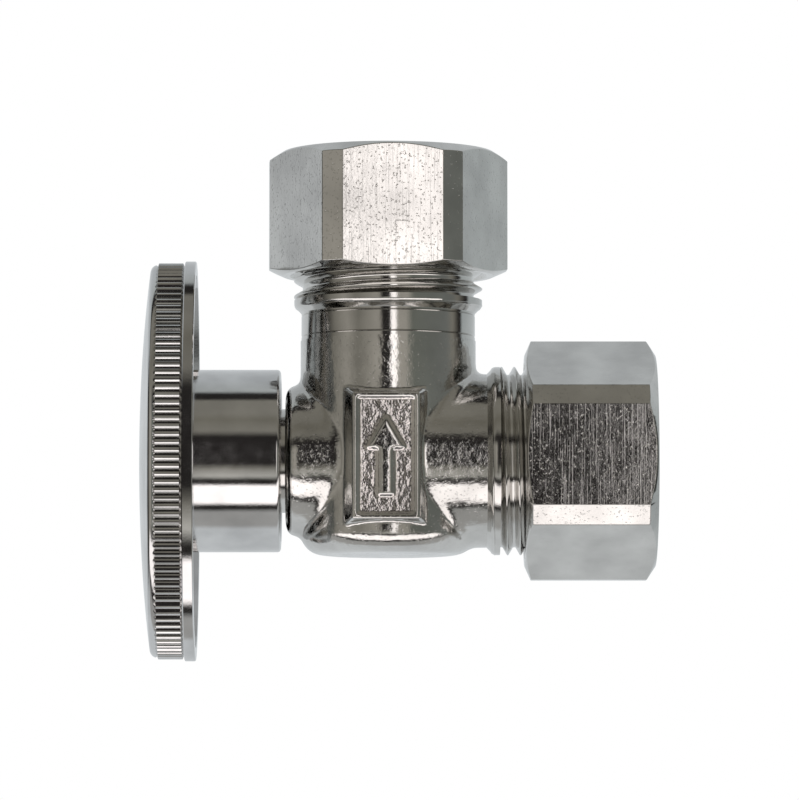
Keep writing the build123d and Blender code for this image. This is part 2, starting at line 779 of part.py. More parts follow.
inlet_nut_x = inlet_mouth_x - inlet_nut_cover
inlet_nut_end_x = sleeve_end_x + inlet_nut_web
inlet_nut_hole = inlet_tube_od / 2 + nut_hole_clearance
nut_thread_root = port_crest + thread_gap
nut_cone_wide = sleeve_radius + nut_cone_gap
nut_cone_x = sleeve_end_x - sleeve_taper
nut_cone_end_x = nut_cone_x + (nut_cone_wide - inlet_nut_hole) / sleeve_slope
inlet_mesh = round((inlet_nut_x - inlet_thread_x) / inlet_pitch) * inlet_pitch + inlet_pitch / 2
inlet_nut_thread = thread_ridge(
    inlet_thread_x + thread_collar / 2 + inlet_mesh,
    inlet_mouth_x + inlet_pitch,
    port_crest + thread_gap - inlet_thread_depth,
    inlet_thread_depth,
    inlet_pitch,
    inward=True,
)
inlet_nut_blank = Plane.YZ * hexagon_nut(
    inlet_nut_x, inlet_nut_end_x, nut_flats, nut_cut_corners, inner_chamfer_angle, outer_chamfer_angle
)

with BuildPart() as inlet_nut:
    add(inlet_nut_blank)
    with BuildSketch(Plane.XY):
        with BuildLine():
            Polyline(
                (inlet_nut_x, 0),
                (inlet_nut_x, nut_thread_root + nut_countersink),
                (inlet_nut_x + nut_countersink, nut_thread_root),
                (nut_cone_x, nut_thread_root),
                (nut_cone_x, nut_cone_wide),
                (nut_cone_end_x, inlet_nut_hole),
                (inlet_nut_end_x - nut_countersink, inlet_nut_hole),
                (inlet_nut_end_x, inlet_nut_hole + nut_countersink),
                (inlet_nut_end_x, 0),
                close=True,
            )
        make_face()
    revolve(axis=Axis.X, mode=Mode.SUBTRACT)
    add(inlet_nut_thread)

export_piece(inlet_nut, "inlet_nut")

# ---- Outlet nut, friction ring and cone washer --------------------------------------------------
cone_mouth_radius = outlet_socket_radius + washer_cone_depth - part_gap
cone_washer_bore = outlet_tube_od / 2 + sleeve_clearance

with BuildPart() as outlet_cone_washer:
    with BuildSketch(outlet_profile):
        with BuildLine():
            Polyline(
                (cone_washer_bore, outlet_mouth - cone_washer_entry),
                (cone_mouth_radius - cone_washer_entry, outlet_mouth - cone_washer_entry),
                (cone_mouth_radius, outlet_mouth),
                (cone_mouth_radius, outlet_mouth + part_gap),
                (cone_washer_radius, outlet_mouth + part_gap),
                (cone_washer_radius, outlet_mouth + cone_washer_rim),
                (cone_washer_bore, outlet_mouth + cone_washer_rim),
                close=True,
            )
        make_face()
    revolve(axis=outlet_axis)

export_piece(outlet_cone_washer, "outlet_cone_washer")

friction_ring_z = outlet_mouth + cone_washer_rim

with BuildPart() as outlet_friction_ring:
    with BuildSketch(outlet_profile):
        with Locations(((cone_washer_bore + cone_washer_radius) / 2, friction_ring_z)):
            Rectangle(
                cone_washer_radius - cone_washer_bore,
                friction_ring_thickness,
                align=(Align.CENTER, Align.MIN),
            )
    revolve(axis=outlet_axis)

export_piece(outlet_friction_ring, "outlet_friction_ring")

outlet_nut_start = outlet_mouth - outlet_nut_cover
outlet_nut_end = friction_ring_z + friction_ring_thickness + outlet_nut_top
outlet_nut_hole = outlet_tube_od / 2 + nut_hole_clearance
outlet_nut_web = friction_ring_z + friction_ring_thickness + part_gap
outlet_mesh = round((outlet_nut_start - outlet_thread_start) / outlet_pitch) * outlet_pitch
outlet_nut_thread = thread_ridge(
    outlet_thread_start + thread_collar / 2 + outlet_mesh + outlet_pitch / 2,
    outlet_mouth + outlet_pitch / 2,
    port_crest + thread_gap - outlet_thread_depth,
    outlet_thread_depth,
    outlet_pitch,
    upright=True,
    inward=True,
)
outlet_nut_blank = Plane((outlet_x, 0, 0), x_dir=(0, -1, 0), z_dir=(0, 0, 1)) * hexagon_nut(
    outlet_nut_start, outlet_nut_end, nut_flats, nut_cut_corners, inner_chamfer_angle, outer_chamfer_angle
)

with BuildPart() as outlet_nut:
    add(outlet_nut_blank)
    with BuildSketch(outlet_profile):
        with BuildLine():
            Polyline(
                (0, outlet_nut_start),
                (nut_thread_root + nut_countersink, outlet_nut_start),
                (nut_thread_root, outlet_nut_start + nut_countersink),
                (nut_thread_root, outlet_nut_web),
                (outlet_nut_hole, outlet_nut_web),
                (outlet_nut_hole, outlet_nut_end - nut_countersink),
                (outlet_nut_hole + nut_countersink, outlet_nut_end),
                (0, outlet_nut_end),
                close=True,
            )
        make_face()
    revolve(axis=outlet_axis, mode=Mode.SUBTRACT)
    add(outlet_nut_thread)

export_piece(outlet_nut, "outlet_nut")
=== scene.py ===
"""The looks of a multi-turn angle stop valve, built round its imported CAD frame.

+X runs along the inlet tube as it leaves the valve and +Z along the outlet tube. The stem and the
handle lie on -X. Sizes that the frame holds are read from it; the rest are fields of the classes.
"""

import logging
import math
from collections.abc import Callable
from dataclasses import dataclass, field
from enum import Enum
from typing import ClassVar

import bpy
from mathutils import Matrix, Vector


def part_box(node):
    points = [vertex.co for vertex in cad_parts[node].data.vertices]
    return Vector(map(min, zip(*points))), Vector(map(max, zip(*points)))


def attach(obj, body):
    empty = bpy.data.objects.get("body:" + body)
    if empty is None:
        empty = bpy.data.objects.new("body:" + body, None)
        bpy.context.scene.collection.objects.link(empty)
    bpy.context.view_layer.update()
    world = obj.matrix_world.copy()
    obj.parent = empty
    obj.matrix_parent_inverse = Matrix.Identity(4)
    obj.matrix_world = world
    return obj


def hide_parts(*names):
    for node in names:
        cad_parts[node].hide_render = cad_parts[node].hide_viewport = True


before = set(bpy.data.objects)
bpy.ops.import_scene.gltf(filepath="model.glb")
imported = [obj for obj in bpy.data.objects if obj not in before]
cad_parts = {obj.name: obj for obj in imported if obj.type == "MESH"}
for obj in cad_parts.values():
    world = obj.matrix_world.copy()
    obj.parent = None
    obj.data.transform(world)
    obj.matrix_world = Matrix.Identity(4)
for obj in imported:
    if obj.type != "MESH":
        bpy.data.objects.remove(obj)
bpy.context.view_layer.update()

log = logging.getLogger("angle_stop")

MM = 0.001
INCH = 25.4 * MM
FINE = 192

Profile = list[tuple[float, float]]
Colour = tuple[float, float, float]
Point = tuple[float, float, float]


class Along(Enum):
    """The axis that a turned piece is laid on."""

    INLET = "inlet"
    OUTLET = "outlet"
    STEM = "stem"


class Kind(Enum):
    """What is selected in edit mode, as the select mode's three switches."""

    EDGES = (False, True, False)
    FACES = (False, False, True)


OUTLET_X = (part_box("outlet_nut")[0].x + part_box("outlet_nut")[1].x) / 2

CROSSING = Matrix.Translation((OUTLET_X, 0, 0))
TURNS = {
    Along.INLET: Matrix.Rotation(math.radians(90), 4, "Y"),
    Along.OUTLET: Matrix.Identity(4),
    Along.STEM: Matrix.Rotation(math.radians(-90), 4, "Y"),
}


def span(node: str, along: Along) -> tuple[float, float]:
    """Where a node starts and ends on an axis.

    Args:
        node: name of the CAD node.
        along: the axis.

    Returns:
        Both places, counted from the point where the axes cross.
    """
    low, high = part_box(node)
    if along is Along.OUTLET:
        return low.z, high.z
    if along is Along.INLET:
        return low.x - OUTLET_X, high.x - OUTLET_X
    return OUTLET_X - high.x, OUTLET_X - low.x


def radius_of(node: str) -> float:
    """Half of a node's size from front to back."""
    low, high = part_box(node)
    return (high.y - low.y) / 2


# ---- Modelling by operators ---------------------------------------------------------------------
def deselect() -> None:
    """Leaves nothing selected and no object in edit mode."""
    if bpy.context.object and bpy.context.object.mode != "OBJECT":
        bpy.ops.object.mode_set(mode="OBJECT")
    bpy.ops.object.select_all(action="DESELECT")


def take(piece: bpy.types.Object) -> None:
    """Selects one piece and makes it the active one."""
    deselect()
    piece.select_set(True)
    bpy.context.view_layer.objects.active = piece


def name_new(name: str) -> bpy.types.Object:
    """Names the primitive that was just added, and its mesh.

    Args:
        name: its new name.

    Returns:
        The primitive.
    """
    piece = bpy.context.object
    piece.name = name
    piece.data.name = name
    return piece


def settle(piece: bpy.types.Object, place: Matrix | None = None) -> bpy.types.Object:
    """Applies a piece's place, so that its object stands at the origin.

    Args:
        piece: the mesh object.
        place: a place to move it to first.

    Returns:
        The same piece.
    """
    take(piece)
    if place is not None:
        piece.matrix_world = place
    bpy.ops.object.transform_apply(location=True, rotation=True, scale=True)
    return piece


def block(name: str, size: Point, middle: Point) -> bpy.types.Object:
    """A block to be shaped further or to cut with.

    Args:
        name: what the object is called.
        size: its size along each axis.
        middle: its middle point.

    Returns:
        The block.
    """
    deselect()
    bpy.ops.mesh.primitive_cube_add(size=1)
    piece = name_new(name)
    piece.dimensions = size
    piece.location = middle
    return settle(piece)


def in_edit(piece: bpy.types.Object, *steps: Callable[[], object]) -> None:
    """Runs edit-mode operators on the whole piece.

    Args:
        piece: the mesh object.
        steps: functions without arguments, run in order with everything selected.
    """
    take(piece)
    bpy.ops.object.mode_set(mode="EDIT")
    bpy.ops.mesh.select_mode(type="VERT")
    bpy.ops.mesh.select_all(action="SELECT")
    for step in steps:
        step()
    bpy.ops.object.mode_set(mode="OBJECT")


def edit_only(
    piece: bpy.types.Object, kind: Kind, chosen: Callable[..., bool], *steps: Callable[[], object]
) -> None:
    """Runs edit-mode operators on a few edges or faces of a piece.

    Args:
        piece: the mesh object.
        kind: whether edges or faces are chosen.
        chosen: says of an edge or face whether it is one of them.
        steps: functions without arguments, run in order with only those selected.
    """
    take(piece)
    mesh = piece.data
    candidates = mesh.edges if kind is Kind.EDGES else mesh.polygons
    picked = [bool(chosen(candidate)) for candidate in candidates]
    for group in (mesh.vertices, mesh.edges, mesh.polygons):
        group.foreach_set("select", [False] * len(group))
    candidates.foreach_set("select", picked)
    bpy.context.tool_settings.mesh_select_mode = kind.value
    bpy.ops.object.mode_set(mode="EDIT")
    for step in steps:
        step()
    bpy.ops.object.mode_set(mode="OBJECT")


def cut_flat(
    piece: bpy.types.Object, place: Point, normal: Point, beyond: bool = True, *steps: Callable[[], object]
) -> None:
    """Cuts off what lies on one side of a plane and fills the cut.

    Args:
        piece: the mesh object.
        place: a point of the plane.
        normal: the plane's direction.
        beyond: whether the side that normal points to goes, or the other.
        steps: further edit-mode functions.
    """
    in_edit(
        piece,
        lambda: bpy.ops.mesh.bisect(
            plane_co=place,
            plane_no=normal,
            use_fill=True,
            clear_inner=not beyond,
            clear_outer=beyond,
            threshold=0.0001 * MM,
        ),
        *steps,
    )


def tidy_normals(piece: bpy.types.Object, merge: float = 0.001 * MM) -> None:
    """Merges doubled points, clears what has no area and turns every face outwards.

    Args:
        piece: the mesh object.
        merge: how near two points are to be merged.
    """
    in_edit(
        piece,
        lambda: bpy.ops.mesh.remove_doubles(threshold=merge),
        lambda: bpy.ops.mesh.dissolve_degenerate(threshold=merge / 10),
        lambda: bpy.ops.mesh.delete_loose(),
        lambda: bpy.ops.mesh.select_all(action="SELECT"),
        lambda: bpy.ops.mesh.normals_make_consistent(inside=False),
    )


def apply_modifier(piece: bpy.types.Object, kind: str, **settings) -> None:
    """Adds one modifier and applies it.

    Args:
        piece: the mesh object.
        kind: the modifier's type.
        settings: its properties by name.
    """
    take(piece)
    modifier = piece.modifiers.new(kind.lower(), kind)
    for key, value in settings.items():
        setattr(modifier, key, value)
    bpy.ops.object.modifier_apply(modifier=modifier.name)


def combine(piece: bpy.types.Object, other: bpy.types.Object, how: str) -> None:
    """Joins, cuts or intersects a piece with another, which is used up.

    Args:
        piece: the mesh object that stays.
        other: the mesh object that is used and removed.
        how: UNION, DIFFERENCE or INTERSECT.
    """
    apply_modifier(piece, "BOOLEAN", object=other, operation=how, solver="EXACT")
    bpy.data.objects.remove(other, do_unlink=True)


def join(piece: bpy.types.Object, *others: bpy.types.Object) -> None:
    """Makes one mesh object of several.

    Args:
        piece: the object that stays.
        others: the objects that become part of it.
    """
    take(piece)
    for other in others:
        other.select_set(True)
    bpy.ops.object.join()


def lay(piece: bpy.types.Object, along: Along) -> bpy.types.Object:
    """Lays a piece that was made along Z on one of the valve's axes."""
    return settle(piece, CROSSING @ TURNS[along])


def smooth(piece: bpy.types.Object, angle: float = 30.0) -> bpy.types.Object:
    """Shades a piece smooth. Large faces decide how an edge is shaded, so flats stay flat.

    Args:
        piece: the mesh object.
        angle: edges that turn by more than this, in degrees, stay sharp.

    Returns:
        The same piece.
    """
    take(piece)
    bpy.ops.object.shade_smooth_by_angle(angle=math.radians(angle), keep_sharp_edges=False)
    apply_modifier(piece, "WEIGHTED_NORMAL", mode="FACE_AREA", weight=100, keep_sharp=True)
    return piece


def outline(name: str, points: Profile, closed: bool = True) -> bpy.types.Object:
    """A profile of edges in the XZ plane.

    Args:
        name: what the object is called.
        points: (place along Z, radius) of each corner.
        closed: whether the last corner joins the first.

    Returns:
        The new object, a ring or a chain of edges.
    """
    deselect()
    bpy.ops.mesh.primitive_circle_add(vertices=len(points), radius=MM, fill_type="NOTHING")
    piece = name_new(name)
    for vertex, (place, radius) in zip(piece.data.vertices, points):
        vertex.co = (radius, 0, place)
    if not closed:
        ends = {0, len(points) - 1}
        edit_only(
            piece,
            Kind.EDGES,
            lambda edge: set(edge.vertices) == ends,
            lambda: bpy.ops.mesh.delete(type="EDGE"),
        )
    return piece


def to_axis(points: Profile) -> Profile:
    """Closes the profile of a solid by a point on the axis at both its ends."""
    return [(points[0][0], 0), *points, (points[-1][0], 0)]


def turned(name: str, points: Profile) -> bpy.types.Object:
    """A solid turned about Z.

    Args:
        name: what the object is called.
        points: (place along Z, radius) of each corner of the closed profile.

    Returns:
        The solid.
    """
    piece = outline(name, points)
    in_edit(
        piece,
        lambda: bpy.ops.mesh.spin(
            steps=FINE, angle=2 * math.pi, center=(0, 0, 0), axis=(0, 0, 1), dupli=False
        ),
    )
    tidy_normals(piece)
    return piece


def rounded(points: Profile, rounds: dict[int, float], steps: int = 5) -> Profile:
    """Rounds some corners of a profile with arcs.

    Args:
        points: (place, radius) of each corner.
        rounds: corner index to the radius of its arc.
        steps: chords in each arc.

    Returns:
        The profile with those corners replaced by points of their arcs.
    """
    result = []
    for index, corner in enumerate(points):
        if index not in rounds:
            result.append(corner)
            continue
        here = Vector(corner)
        before = (Vector(points[index - 1]) - here).normalized()
        after = (Vector(points[(index + 1) % len(points)]) - here).normalized()
        half = before.angle(after) / 2
        reach = rounds[index] / math.tan(half)
        centre = here + (before + after).normalized() * rounds[index] / math.sin(half)
        start = here + before * reach - centre
        finish = here + after * reach - centre
        for step in range(steps + 1):
            share = step / steps
            spoke = start.lerp(finish, share).normalized() * rounds[index]
            result.append(tuple(centre + spoke))
    return result


# ---- Threads ------------------------------------------------------------------------------------
@dataclass(frozen=True)
class Thread:
    """A right-hand thread with 60 degree flanks. Its ridges pass the XZ plane at start."""

    pitch: float
    crest: float
    depth: float
    start: float

    def rod(self, name: str, low: float, high: float, grow: float = 0.0) -> bpy.types.Object:
        """A solid threaded rod along Z.

        Args:
            name: what the object is called.
            low: place of its lower end.
            high: place of its upper end.
            grow: how far its surface stands outside the thread's own.

        Returns:
            The rod, closed at both ends.
        """
        half_crest = self.pitch / 16 + grow / 2
        half_root = half_crest + math.tan(math.radians(30)) * self.depth
        crest, root = self.crest + grow, self.crest + grow - self.depth
        easing = 0.12 * self.depth
        chain = [
            (-half_root - 0.5 * easing, root),
            (-half_root + 0.5 * easing, root + 0.5 * easing),
            (-half_crest - 0.3 * easing, crest - 0.8 * easing),
            (-half_crest + 0.5 * easing, crest),
            (half_crest - 0.5 * easing, crest),
            (half_crest + 0.3 * easing, crest - 0.8 * easing),
            (half_root - 0.5 * easing, root + 0.5 * easing),
            (half_root + 0.5 * easing, root),
            (self.pitch - half_root - 0.5 * easing, root),
        ]
        first = math.floor((low - self.start) / self.pitch) - 2
        turns = math.ceil((high - low) / self.pitch) + 4
        points = [(self.start + first * self.pitch + place, radius) for place, radius in chain]
        piece = outline(name, points, closed=False)
        apply_modifier(
            piece,
            "SCREW",
            axis="Z",
            steps=FINE,
            render_steps=FINE,
            screw_offset=self.pitch,
            iterations=turns,
            use_merge_vertices=True,
            merge_threshold=0.001 * MM,
        )
        for place, beyond in ((low, False), (high, True)):
            cut_flat(
                piece,
                (0, 0, place),
                (0, 0, 1),
                beyond,
                lambda: bpy.ops.mesh.select_all(action="SELECT"),
                lambda: bpy.ops.mesh.fill_holes(sides=12),
            )
        tidy_normals(piece)
        return piece


# ---- Finishes -----------------------------------------------------------------------------------
@dataclass(frozen=True)
class Finish:
    """A metal, rubber or packing surface with its own grain, lumps, pits and scratches.

    Sizes are in millimetres, heights too.
    """

    name: str
    slot: str
    colour: Colour
    roughness: float
    metallic: float = 1.0
    lump_size: float = 2.0
    lump_height: float = 0.0
    grain_size: float = 0.2
    grain_height: float = 0.0
    scratch_height: float = 0.0
    pit_height: float = 0.0
    stain: float = 0.12

    def material(self) -> bpy.types.Material:
        """Makes the finish, once.

        Returns:
            Its material.
        """
        made = bpy.data.materials.get(self.name)
        if made:
            return made
        made = bpy.data.materials.new(self.name)
        made.use_nodes = True
        nodes, links = made.node_tree.nodes, made.node_tree.links
        shader = nodes["Principled BSDF"]
        shader.inputs["Metallic"].default_value = self.metallic
        where = nodes.new("ShaderNodeTexCoord").outputs["Object"]

        def noise(size: float, detail: float, stretch: Point = (1.0, 1.0, 1.0)) -> bpy.types.NodeSocket:
            """A noise pattern on Object coordinates.

            Args:
                size: size of its features in millimetres.
                detail: how many finer layers it has.
                stretch: how much denser it is along each axis.

            Returns:
                Its value's socket.
            """
            mapping = nodes.new("ShaderNodeMapping")
            mapping.inputs["Scale"].default_value = [s / (size * MM) for s in stretch]
            texture = nodes.new("ShaderNodeTexNoise")
            texture.inputs["Scale"].default_value = 1.0
            texture.inputs["Detail"].default_value = detail
            links.new(where, mapping.inputs["Vector"])
            links.new(mapping.outputs["Vector"], texture.inputs["Vector"])
            return texture.outputs["Fac"]

        def ramp(
            source: bpy.types.NodeSocket, start: float, end: float, low: float = 0.0, high: float = 1.0
        ) -> bpy.types.NodeSocket:
            """Stretches a part of a value's range.

            Args:
                source: the value.
                start: the value that becomes low.
                end: the value that becomes high.
                low: the result at start.
                high: the result at end.

            Returns:
                The result's socket.
            """
            spread = nodes.new("ShaderNodeMapRange")
            for name, value in zip(("From Min", "From Max", "To Min", "To Max"), (start, end, low, high)):
                spread.inputs[name].default_value = value
            links.new(source, spread.inputs["Value"])
            return spread.outputs["Result"]

        tint = nodes.new("ShaderNodeMix")
        tint.data_type = "RGBA"
        tint.inputs["A"].default_value = [c * (1 - self.stain) for c in self.colour] + [1]
        tint.inputs["B"].default_value = [min(c * (1 + self.stain), 1) for c in self.colour] + [1]
        links.new(ramp(noise(6.0, 3.0), 0.35, 0.65), tint.inputs["Factor"])
        links.new(tint.outputs["Result"], shader.inputs["Base Color"])
        wear = ramp(noise(1.3, 5.0), 0.3, 0.7, self.roughness * 0.75, self.roughness * 1.35)
        links.new(wear, shader.inputs["Roughness"])

        heights = []
        if self.lump_height:
            heights.append((noise(self.lump_size, 2.0), self.lump_height))
        if self.grain_height:
            heights.append((noise(self.grain_size, 4.0), self.grain_height))
        if self.scratch_height:
            lines = noise(0.5, 3.0, (6.0, 1.0, 0.06))
            heights.append((ramp(lines, 0.58, 0.72), -self.scratch_height))
        if self.pit_height:
            heights.append((ramp(noise(0.3, 1.0), 0.64, 0.70), -self.pit_height))
        normal = None
        for source, height in heights:
            bump = nodes.new("ShaderNodeBump")
            bump.invert = height < 0
            bump.inputs["Strength"].default_value = 1.0
            bump.inputs["Distance"].default_value = abs(height) * MM
            links.new(source, bump.inputs["Height"])
            if normal:
                links.new(normal, bump.inputs["Normal"])
            normal = bump.outputs["Normal"]
        if normal:
            links.new(normal, shader.inputs["Normal"])
        return made


FORGED = Finish(
    "forged_chrome", "chrome_forging", (0.62, 0.61, 0.59), 0.10,
    lump_size=2.5, lump_height=0.015, grain_size=0.24, grain_height=0.009, pit_height=0.008,
)
FIELD = Finish(
    "sandy_chrome", "chrome_forging", (0.66, 0.63, 0.61), 0.10,
    lump_size=0.9, lump_height=0.08, grain_size=0.32, grain_height=0.035,
)
TURNED = Finish(
    "turned_chrome", "chrome_forging", (0.62, 0.61, 0.59), 0.09,
    lump_size=3.0, lump_height=0.02, grain_size=0.2, grain_height=0.003,
)
NUT = Finish(
    "nut_chrome", "chrome_nut", (0.62, 0.61, 0.59), 0.075,
    lump_size=3.0, lump_height=0.006, grain_size=0.28, grain_height=0.0032,
    scratch_height=0.0008, pit_height=0.008,
)
HANDLE = Finish(
    "cast_chrome", "chrome_handle", (0.66, 0.655, 0.65), 0.08,
    lump_size=5.0, lump_height=0.02, grain_size=0.25, grain_height=0.002,
)
BRASS = Finish(
    "turned_brass", "brass", (0.70, 0.50, 0.20), 0.25,
    grain_size=0.15, grain_height=0.004, scratch_height=0.004,
)
STEEL = Finish(
    "plated_steel", "steel_screw", (0.55, 0.55, 0.56), 0.22,
    grain_size=0.15, grain_height=0.004, scratch_height=0.004,
)
RUBBER = Finish(
    "moulded_rubber", "black_rubber", (0.022, 0.022, 0.022), 0.6, metallic=0.0,
    grain_size=0.25, grain_height=0.01,
)
PACKING = Finish(
    "graphite_packing", "packing", (0.05, 0.05, 0.055), 0.5, metallic=0.0,
    grain_size=0.3, grain_height=0.02,
)


def dress(piece: bpy.types.Object, finish: Finish) -> None:
    """Gives a piece one finish all over."""
    piece.data.materials.clear()
    piece.data.materials.append(finish.material())


def hand_over(piece: bpy.types.Object, body: str, finish: Finish, node: str) -> None:
    """Dresses a finished piece, sets it on its body and hides the node that it stands for.

    Args:
        piece: the mesh object.
        body: the body that it rides on.
        finish: its finish.
        node: the CAD node that it stands for.
    """
    dress(piece, finish)
    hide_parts(node)
    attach(piece, body)
    log.info("%s: %d faces, rides on %s", piece.name, len(piece.data.polygons), body)


# ---- Body ---------------------------------------------------------------------------------------
@dataclass
class ValveBody:
    """The forging, its two threaded ports and the neck under the packing nut."""

    box: tuple[Vector, Vector] = field(default_factory=lambda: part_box("valve_body"))
    barrel_radius: float = 9.6 * MM
    inlet_radius: float = 9.5 * MM
    bonnet_radius: float = 8.25 * MM
    bottom_round: float = 2.4 * MM
    shoulder: float = 13.1 * MM
    inlet_thread_start: float = 11.1 * MM
    outlet_thread_start: float = 16.5 * MM
    bonnet_face: float = 11.2 * MM
    bonnet_round: float = 1.0 * MM
    collar: float = 1.1 * MM
    outlet_bore: float = 4.9 * MM
    outlet_socket: float = 6.415 * MM
    outlet_stop: float = 17.4 * MM
    inlet_bore: float = 6.6 * MM
    inlet_socket: float = 8.0025 * MM
    inlet_stop: float = 11.5 * MM
    seat: float = 5.0 * MM
    orifice: float = 2.4 * MM
    stem_bore: float = 4.13 * MM
    packing_room: float = 4.5 * MM
    packing_depth: float = 3.2 * MM
    neck_crest: float = 5.7 * MM
    pad_width: float = 7.1 * MM
    pad_height: float = 13.6 * MM
    pad_shift: float = 0.2 * MM
    pad_face: float = 10.05 * MM
    pad_border: float = 0.45 * MM
    pad_field: float = 0.35 * MM
    neck_radius: float = 9.5 * MM
    spare: float = 2 * MM
    grooves: tuple[float, ...] = (13.6 * MM, 15.9 * MM)

    def __post_init__(self) -> None:
        """Works out the ends and the threads from the frame."""
        self.bottom = self.box[0].z
        self.outlet_mouth = self.box[1].z
        self.inlet_mouth = self.box[1].x - OUTLET_X
        self.neck_end = OUTLET_X - self.box[0].x
        crest = (self.box[1].y - self.box[0].y) / 2
        half_collar = self.collar / 2
        self.inlet_thread = Thread(INCH / 18, crest, 0.88 * MM, self.inlet_thread_start + half_collar)
        self.outlet_thread = Thread(INCH / 14, crest, 0.95 * MM, self.outlet_thread_start + half_collar)
        self.neck_thread = Thread(INCH / 24, self.neck_crest, 0.55 * MM, self.neck_end)

    def build(self) -> None:
        """Makes and places every piece of the body."""
        forging = self.forging()
        hand_over(forging, "body", FORGED, "valve_body")
        forging.data.materials.append(FIELD.material())
        half_width = self.pad_width / 2 - self.pad_border
        half_height = self.pad_height / 2 - self.pad_border
        for face in forging.data.polygons:
            x = abs(face.center.x - OUTLET_X + self.pad_shift)
            deep = self.barrel_radius < abs(face.center.y) < self.pad_face - 0.15 * MM
            if deep and x < half_width and abs(face.center.z) < half_height:
                face.material_index = 1
        for neck in (self.outlet_neck(), self.inlet_neck(), self.bonnet_neck()):
            hand_over(neck, "body", TURNED, "valve_body")

    def barrels(self) -> bpy.types.Object:
        """The upright barrel and the barrel across it, blended into each other.

        Returns:
            One skin round all three, about the point where the axes cross.
        """
        top = self.shoulder + self.spare
        side = self.inlet_thread_start + self.spare
        inside = -2 * MM
        upright = to_axis([(self.bottom, self.barrel_radius), (top, self.barrel_radius)])
        inlet = to_axis([(inside, self.inlet_radius), (side, self.inlet_radius)])
        bonnet = to_axis([(inside, self.bonnet_radius), (self.bonnet_face, self.bonnet_radius)])
        skin = turned("body_forging", rounded(upright, {1: self.bottom_round}, 8))
        join(
            skin,
            settle(turned("inlet_barrel", inlet), TURNS[Along.INLET]),
            settle(turned("bonnet_barrel", rounded(bonnet, {2: self.bonnet_round}, 6)), TURNS[Along.STEM]),
        )
        apply_modifier(skin, "REMESH", mode="VOXEL", voxel_size=0.22 * MM)
        apply_modifier(skin, "SMOOTH", factor=0.5, iterations=40)
        return skin

    def pad(self, side: int) -> bpy.types.Object:
        """One raised pad with a sunk field and flared sides.

        Args:
            side: -1 in front and 1 behind.

        Returns:
            The pad.
        """
        depth = self.pad_face - 6 * MM
        middle = (-self.pad_shift, side * (self.pad_face - depth / 2), 0)
        pad = block("pad", (self.pad_width, depth, self.pad_height), middle)
        flare = depth * math.tan(math.radians(30))
        inner = min(abs(v.co.y) for v in pad.data.vertices)
        for vertex in pad.data.vertices:
            if abs(vertex.co.y) < inner + 0.1 * MM:
                vertex.co.x += math.copysign(flare, vertex.co.x + self.pad_shift)
                vertex.co.z += math.copysign(flare * 0.7, vertex.co.z)
        edit_only(
            pad,
            Kind.FACES,
            lambda face: face.normal.y * side > 0.9,
            lambda: bpy.ops.mesh.inset(thickness=self.pad_border, depth=0),
            lambda: bpy.ops.mesh.extrude_region_move(
                TRANSFORM_OT_translate={"value": (0, -side * self.pad_field, 0)}
            ),
        )
        return pad

    def arrow(self) -> bpy.types.Object:
        """A plain arrow that stands in the front pad's field and points to the outlet.

        Returns:
            The arrow, a three-sided head on a shaft.
        """
        thick = 1.2 * MM
        front = -(self.pad_face - thick / 2)
        deselect()
        bpy.ops.mesh.primitive_cylinder_add(
            vertices=3, radius=2.35 * MM, depth=thick, rotation=(math.radians(90), 0, 0)
        )
        head = name_new("arrow_head")
        head.location = (-self.pad_shift, front, 2.0 * MM)
        settle(head)
        shaft = block("arrow_shaft", (1.5 * MM, thick, 5.4 * MM), (-self.pad_shift, front, -1.6 * MM))
        join(head, shaft)
        return head

    def forging(self) -> bpy.types.Object:
        """The forged body with its pads, its lumpy skin and its waterway.

        Returns:
            The forging, cut flat where the turned necks start.
        """
        forging = self.barrels()
        join(forging, self.pad(-1), self.pad(1), self.arrow())
        apply_modifier(forging, "REMESH", mode="VOXEL", voxel_size=0.18 * MM)
        apply_modifier(forging, "SMOOTH", factor=0.5, iterations=7)
        lumps = bpy.data.textures.new("forging_lumps", "CLOUDS")
        lumps.noise_scale = 0.6 * MM
        lumps.noise_depth = 2
        apply_modifier(
            forging, "DISPLACE", texture=lumps, texture_coords="LOCAL", strength=0.025 * MM, mid_level=0.5
        )
        cut_flat(forging, (0, 0, self.shoulder), (0, 0, 1))
        cut_flat(forging, (self.inlet_thread_start - 0.3 * MM, 0, 0), (1, 0, 0))
        tidy_normals(forging)
        far = 16 * MM
        chamber = self.seat + 3 * MM
        upright = [(-4.8 * MM, self.outlet_bore), (20 * MM, self.outlet_bore)]
        across = [
            (-far, self.stem_bore), (self.seat, self.stem_bore), (self.seat, self.orifice),
            (chamber, self.orifice), (chamber, self.inlet_bore), (far, self.inlet_bore),
        ]
        waterway = settle(turned("across_bore", to_axis(across)), TURNS[Along.INLET])
        combine(forging, turned("upright_bore", to_axis(upright)), "DIFFERENCE")
        combine(forging, waterway, "DIFFERENCE")
        return smooth(settle(forging, CROSSING), 40)

